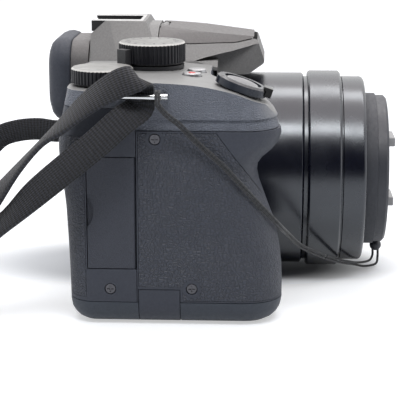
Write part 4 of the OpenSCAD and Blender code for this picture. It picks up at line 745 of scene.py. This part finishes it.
def shown(tree):
    """1 for what the camera sees, straight, mirrored or through glass."""
    path = tree.nodes.new("ShaderNodeLightPath")
    value = path.outputs["Is Camera Ray"]
    for name in ("Is Glossy Ray", "Is Transmission Ray"):
        either = tree.nodes.new("ShaderNodeMath")
        either.operation = "MAXIMUM"
        tree.links.new(value, either.inputs[0])
        tree.links.new(path.outputs[name], either.inputs[1])
        value = either.outputs["Value"]
    return value


def add_floor():
    """Pale floor that glows white outside an oval under the object, so that its shadow stays."""
    s = Shader("floor_white", (0.62, 0.645, 0.68), 0.8)
    s.tint(s.noise(3, 2), 0.99, 1.01)
    mesh = bpy.data.meshes.new("floor")
    reach, low = 8, -0.0002
    corners = [(-reach, -reach, low), (reach, -reach, low), (reach, reach, low), (-reach, reach, low)]
    mesh.from_pydata(corners, [], [(0, 1, 2, 3)])
    floor = bpy.data.objects.new("floor", mesh)
    scene.collection.objects.link(floor)
    mesh.materials.append(s.mat)
    glow = s.add("ShaderNodeEmission")
    glow.inputs["Color"].default_value = (1, 1, 1, 1)
    oval = s.add("ShaderNodeVectorMath", operation="MULTIPLY")
    oval.inputs[1].default_value = (2.6, 1, 1)
    s.link(s.spot(), oval.inputs[0])
    away = s.add("ShaderNodeVectorMath", operation="LENGTH")
    s.link(oval.outputs["Vector"], away.inputs[0])
    rise = s.add("ShaderNodeMapRange", interpolation_type="SMOOTHSTEP")
    set_range(rise, 0.05, 0.095, 0.0, 0.5)
    s.link(away.outputs["Value"], rise.inputs["Value"])
    level = s.add("ShaderNodeMath", operation="MULTIPLY")
    s.link(shown(s.tree), level.inputs[0])
    s.link(rise.outputs["Result"], level.inputs[1])
    s.link(level.outputs["Value"], glow.inputs["Strength"])
    both = s.add("ShaderNodeAddShader")
    out = s.tree.nodes["Material Output"]
    s.link(s.out.outputs["BSDF"], both.inputs[0])
    s.link(glow.outputs["Emission"], both.inputs[1])
    s.link(both.outputs["Shader"], out.inputs["Surface"])


def add_surroundings():
    """Bright from the far side up to the ceiling, dark behind the camera, and weaker as a light."""
    world = bpy.data.worlds.new("studio")
    scene.world = world
    world.use_nodes = True
    tree = world.node_tree
    back = tree.nodes["Background"]
    coords = tree.nodes.new("ShaderNodeTexCoord")
    split = tree.nodes.new("ShaderNodeSeparateXYZ")
    tree.links.new(coords.outputs["Generated"], split.inputs["Vector"])
    sky = tree.nodes.new("ShaderNodeValToRGB")
    marks = sky.color_ramp.elements
    marks.new(0.5)
    heights = ((0.05, (1.2, 1.2, 1.2)), (0.5, (1.8, 1.8, 1.8)), (0.95, (2.5, 2.3, 2.25)))
    for mark, (place, color) in zip(marks, heights):
        mark.position, mark.color = place, (*color, 1)
    tree.links.new(split.outputs["Z"], sky.inputs["Fac"])
    room = tree.nodes.new("ShaderNodeMapRange")
    set_range(room, -0.75, -0.25, 0.03, 1.0)
    tree.links.new(split.outputs["X"], room.inputs["Value"])
    dim = tree.nodes.new("ShaderNodeMix")
    dim.data_type, dim.blend_type = "RGBA", "MULTIPLY"
    dim.inputs["Factor"].default_value = 1
    tree.links.new(sky.outputs["Color"], dim.inputs["A"])
    tree.links.new(room.outputs["Result"], dim.inputs["B"])
    tree.links.new(dim.outputs["Result"], back.inputs["Color"])
    strength = tree.nodes.new("ShaderNodeMapRange")
    set_range(strength, 0.0, 1.0, 0.3, 1.0)
    tree.links.new(shown(tree), strength.inputs["Value"])
    tree.links.new(strength.outputs["Result"], back.inputs["Strength"])


def add_lamp(name, place, target, size, power, color=(1, 1, 1)):
    data = bpy.data.lights.new(name, "AREA")
    data.shape = "RECTANGLE"
    data.size, data.size_y = size
    data.energy = power
    data.color = color
    obj = bpy.data.objects.new(name, data)
    obj.location = place
    obj.rotation_euler = (Vector(target) - Vector(place)).to_track_quat("-Z", "Y").to_euler()
    scene.collection.objects.link(obj)


add_floor()
add_surroundings()
add_lamp("window", (-0.49, -0.05, 0.80), (0, -0.03, 0.045), (0.7, 0.18), 5.1)
add_lamp("over", (0.34, -0.05, 0.89), (0, -0.03, 0.06), (0.9, 0.25), 4.2)
add_lamp("left", (-0.55, 0.7, 0.5), (0, 0, 0.05), (0.5, 0.5), 0.8, (0.9, 0.95, 1.0))
